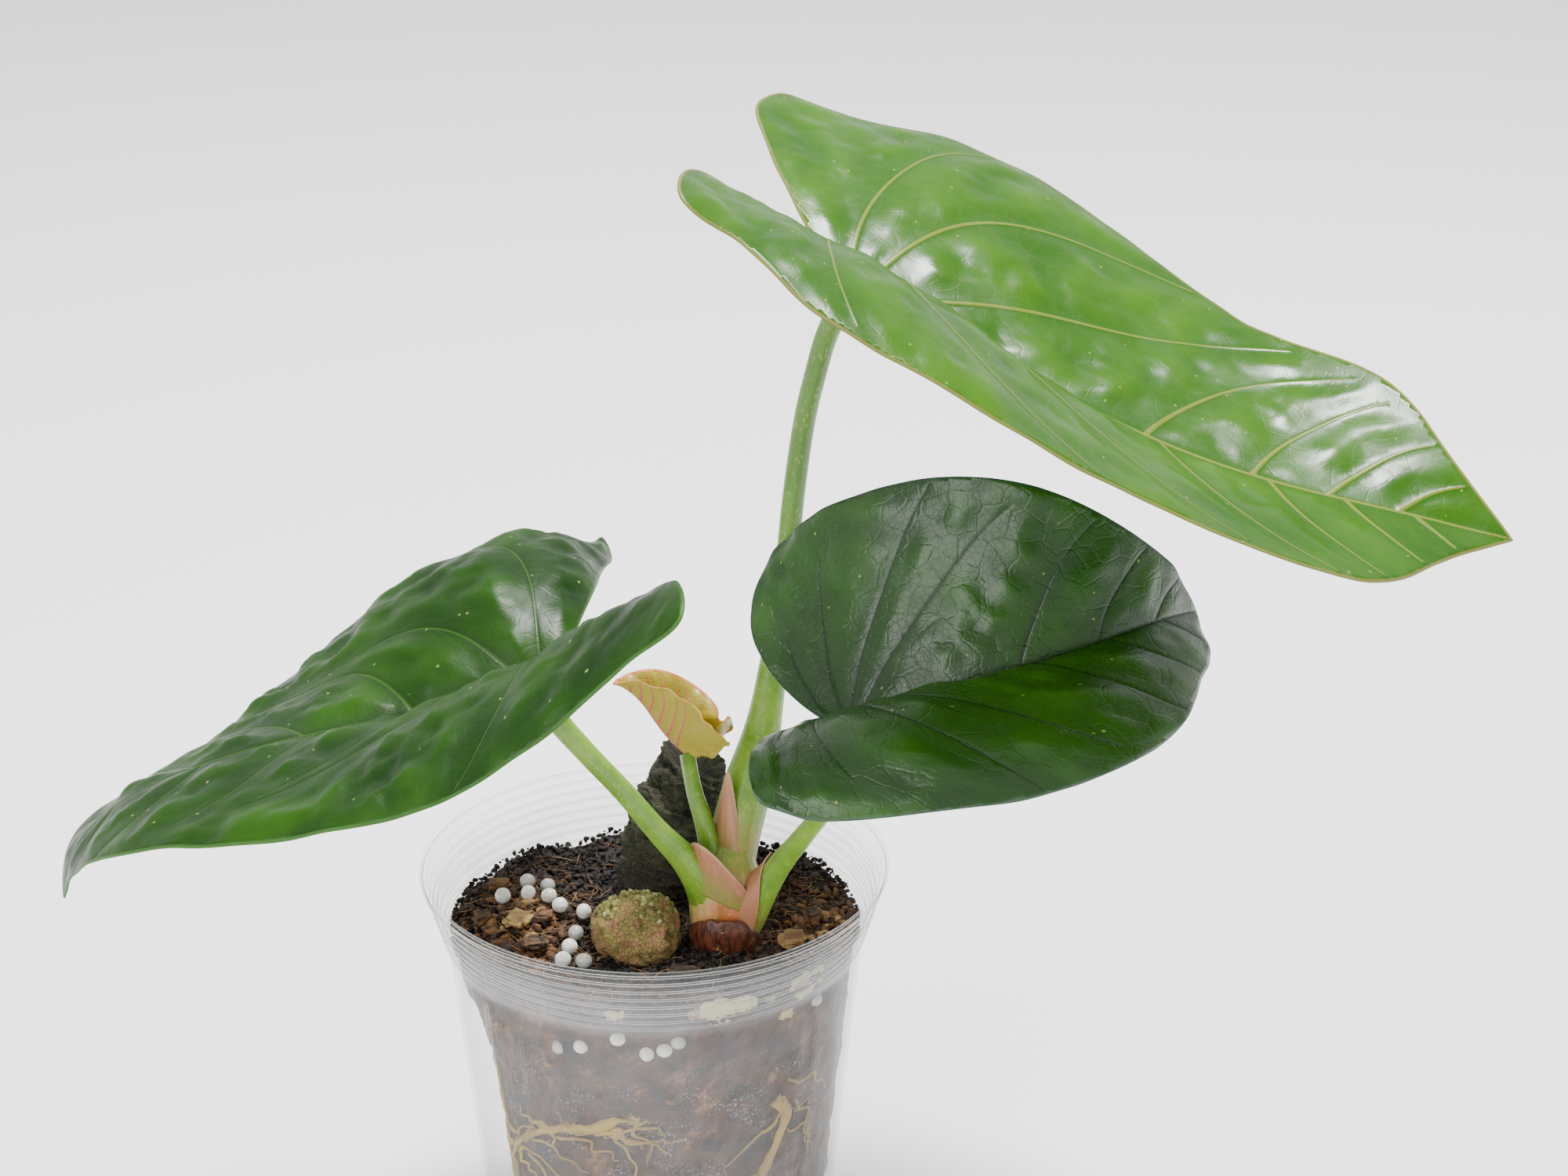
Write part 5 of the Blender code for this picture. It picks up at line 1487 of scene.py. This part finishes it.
# How each blade's skin is coloured, and its sheen: specular level, coat and the strength of its pebbling.
# In each skin the two greens are the blade's colour as lit and a painted shade copy of it.
LEAF_LOOKS = {
    "top": {
        "shine": 0.19, "coat": 0.03, "pebble": 0.15,
        "skin": {
            "Net Scale": 210.0, "Vein Show": 0.80, "Net Show": 0.06, "Rough": 0.28,
            "Lit": (0.040, 0.130, 0.0), "Shaded": (0.014, 0.072, 0.0),
            "Vein Colour": (0.15, 0.18, 0.020), "Edge Colour": (0.22, 0.19, 0.05),
            "Under Colour": (0.075, 0.18, 0.015), "Under Vein Colour": (0.28, 0.38, 0.12),
        },
    },
    "left": {
        "shine": 0.16, "coat": 0.0, "pebble": 0.30,
        "skin": {
            "Net Scale": 190.0, "Vein Show": 0.45, "Net Show": 0.05, "Rough": 0.40,
            "Lit": (0.015, 0.062, 0.0), "Shaded": (0.003, 0.020, 0.001),
            "Vein Colour": (0.04, 0.10, 0.008), "Edge Colour": (0.04, 0.12, 0.02),
            "Under Colour": (0.048, 0.125, 0.012), "Under Vein Colour": (0.18, 0.28, 0.08),
        },
    },
    "right": {
        "shine": 0.42, "coat": 0.05, "pebble": 0.75,
        "skin": {
            "Net Scale": 200.0, "Vein Show": 0.85, "Net Show": 0.07, "Rough": 0.31,
            "Lit": (0.019, 0.082, 0.0), "Shaded": (0.005, 0.032, 0.001),
            "Vein Colour": (0.003, 0.014, 0.003), "Edge Colour": (0.015, 0.05, 0.02),
            "Under Colour": (0.048, 0.125, 0.012), "Under Vein Colour": (0.18, 0.28, 0.08),
        },
    },
    "young": {
        "shine": 0.40, "coat": 0.1, "pebble": 0.8,
        "skin": {
            "Net Scale": 520.0, "Vein Show": 0.95, "Net Show": 0.18, "Rough": 0.36,
            "Lit": (0.42, 0.33, 0.020), "Shaded": (0.30, 0.27, 0.015),
            "Vein Colour": (0.60, 0.15, 0.09), "Edge Colour": (0.60, 0.15, 0.05),
            "Under Colour": (0.37, 0.30, 0.030), "Under Vein Colour": (0.52, 0.09, 0.07),
        },
    },
}
# What the mesh gives the skin: the socket, the attribute's output, and the socket's kind.
SKIN_FROM_MESH = {
    "Flat": ("Vector", "Vector"), "Vein": ("Fac", "Float"), "Margin": ("Fac", "Float"),
    "Under": ("Fac", "Float"), "Swell": ("Fac", "Float"),
}
DOT_YELLOW = (0.42, 0.48, 0.12, 1.0)


def leaf_skin_group():
    """The pattern that all four blades share: mottle, painted light and shade over the quilting, fine net,
    veins, margin and paler underside.
    """
    tree = bpy.data.node_groups.new("leaf_skin", "ShaderNodeTree")
    for socket, (_, kind) in SKIN_FROM_MESH.items():
        tree.interface.new_socket(socket, in_out="INPUT", socket_type="NodeSocket" + kind)
    for socket, value in LEAF_LOOKS["top"]["skin"].items():
        kind = "Color" if isinstance(value, tuple) else "Float"
        tree.interface.new_socket(socket, in_out="INPUT", socket_type="NodeSocket" + kind)
    for socket, kind in (("Color", "Color"), ("Roughness", "Float"), ("Height", "Float")):
        tree.interface.new_socket(socket, in_out="OUTPUT", socket_type="NodeSocket" + kind)
    make = Recipe(tree)
    given = tree.nodes.new("NodeGroupInput").outputs
    flat = given["Flat"]
    # The green runs between the lit green and its painted shade copy: in random mottle, and lighter on the
    # quilting's swells as painted light.
    mottle = make.noise(flat, 38.0, 3.0, 0.5)
    broad = make.stretch(make.plus(mottle, make.times(given["Swell"], 0.22)), 0.30, 0.95)
    colour = make.mix(broad, given["Shaded"], given["Lit"])
    # Darker towards each vein: painted shade in the quilting's valleys.
    vein_shade = make.stretch(given["Vein"], 1.0, 7.0, 0.45, 0.0)
    colour = make.mix(vein_shade, colour, given["Shaded"])
    drift = make.add("TexNoise", {"Vector": flat, "Scale": 160.0}).outputs["Color"]
    drift = make.add("VectorMath", {0: drift, 3: 0.0022}, operation="SCALE").outputs[0]
    warped = make.add("VectorMath", {0: flat, 1: drift}, operation="ADD").outputs[0]
    net = make.cells(warped, given["Net Scale"], "DISTANCE_TO_EDGE").outputs["Distance"]
    net_line = make.stretch(net, 0.0, 0.07, 1.0, 0.0)
    finer = make.times(given["Net Scale"], 3.6)
    fine = make.cells(warped, finer, "DISTANCE_TO_EDGE").outputs["Distance"]
    fine_line = make.stretch(fine, 0.0, 0.10, 1.0, 0.0)
    both_lines = make.math("MAXIMUM", net_line, make.times(fine_line, 0.4))
    shown = make.times(given["Net Show"], both_lines)
    colour = make.mix(shown, colour, given["Vein Colour"])
    vein = make.stretch(given["Vein"], 0.75, 1.5, 1.0, 0.0)
    colour = make.mix(make.times(vein, given["Vein Show"]), colour, given["Vein Colour"])
    edge = make.stretch(given["Margin"], 0.15, 0.75, 0.9, 0.0)
    colour = make.mix(edge, colour, given["Edge Colour"])
    dots = make.stretch(make.cells(flat, 210.0).outputs["Distance"], 0.08, 0.04)
    colour = make.mix(make.times(dots, 0.40), colour, DOT_YELLOW)
    below = make.mix(make.times(vein, given["Vein Show"]), given["Under Colour"], given["Under Vein Colour"])
    colour = make.mix(given["Under"], colour, below)
    patch = make.stretch(make.noise(flat, 85.0, 4.0, 0.6), 0.40, 0.70, -0.05, 0.12)
    rough = make.plus(make.plus(given["Rough"], patch), make.times(given["Under"], 0.25))
    height = make.plus(make.times(net_line, -0.5), make.times(fine_line, -0.22))
    height = make.plus(height, make.times(make.noise(flat, 2600.0, 2.0), 0.12))
    out = tree.nodes.new("NodeGroupOutput").inputs
    make.feed(out["Color"], colour)
    make.feed(out["Roughness"], rough)
    make.feed(out["Height"], height)
    return tree


leaf_skin = leaf_skin_group()


def leaf_finish(name):
    look = LEAF_LOOKS[name]
    made = Finish("leaf_" + name, Specular_IOR_Level=look["shine"])
    made.shade(Coat_Weight=look["coat"], Coat_Roughness=0.12)
    skin = made.add("Group", node_tree=leaf_skin)
    for socket, (output, _) in SKIN_FROM_MESH.items():
        made.feed(skin.inputs[socket], made.attribute(socket.lower(), output))
    for socket, value in look["skin"].items():
        skin.inputs[socket].default_value = (*value, 1.0) if isinstance(value, tuple) else value
    bump = made.bump(skin.outputs["Height"], 0.00012, look["pebble"])
    made.shade(Base_Color=skin.outputs["Color"], Roughness=skin.outputs["Roughness"], Normal=bump)
    return made.material


for name in LEAVES:
    piece("leaf_" + name, build_blade(name), leaf_finish(name), "blade_" + name, slot="blade_" + name)
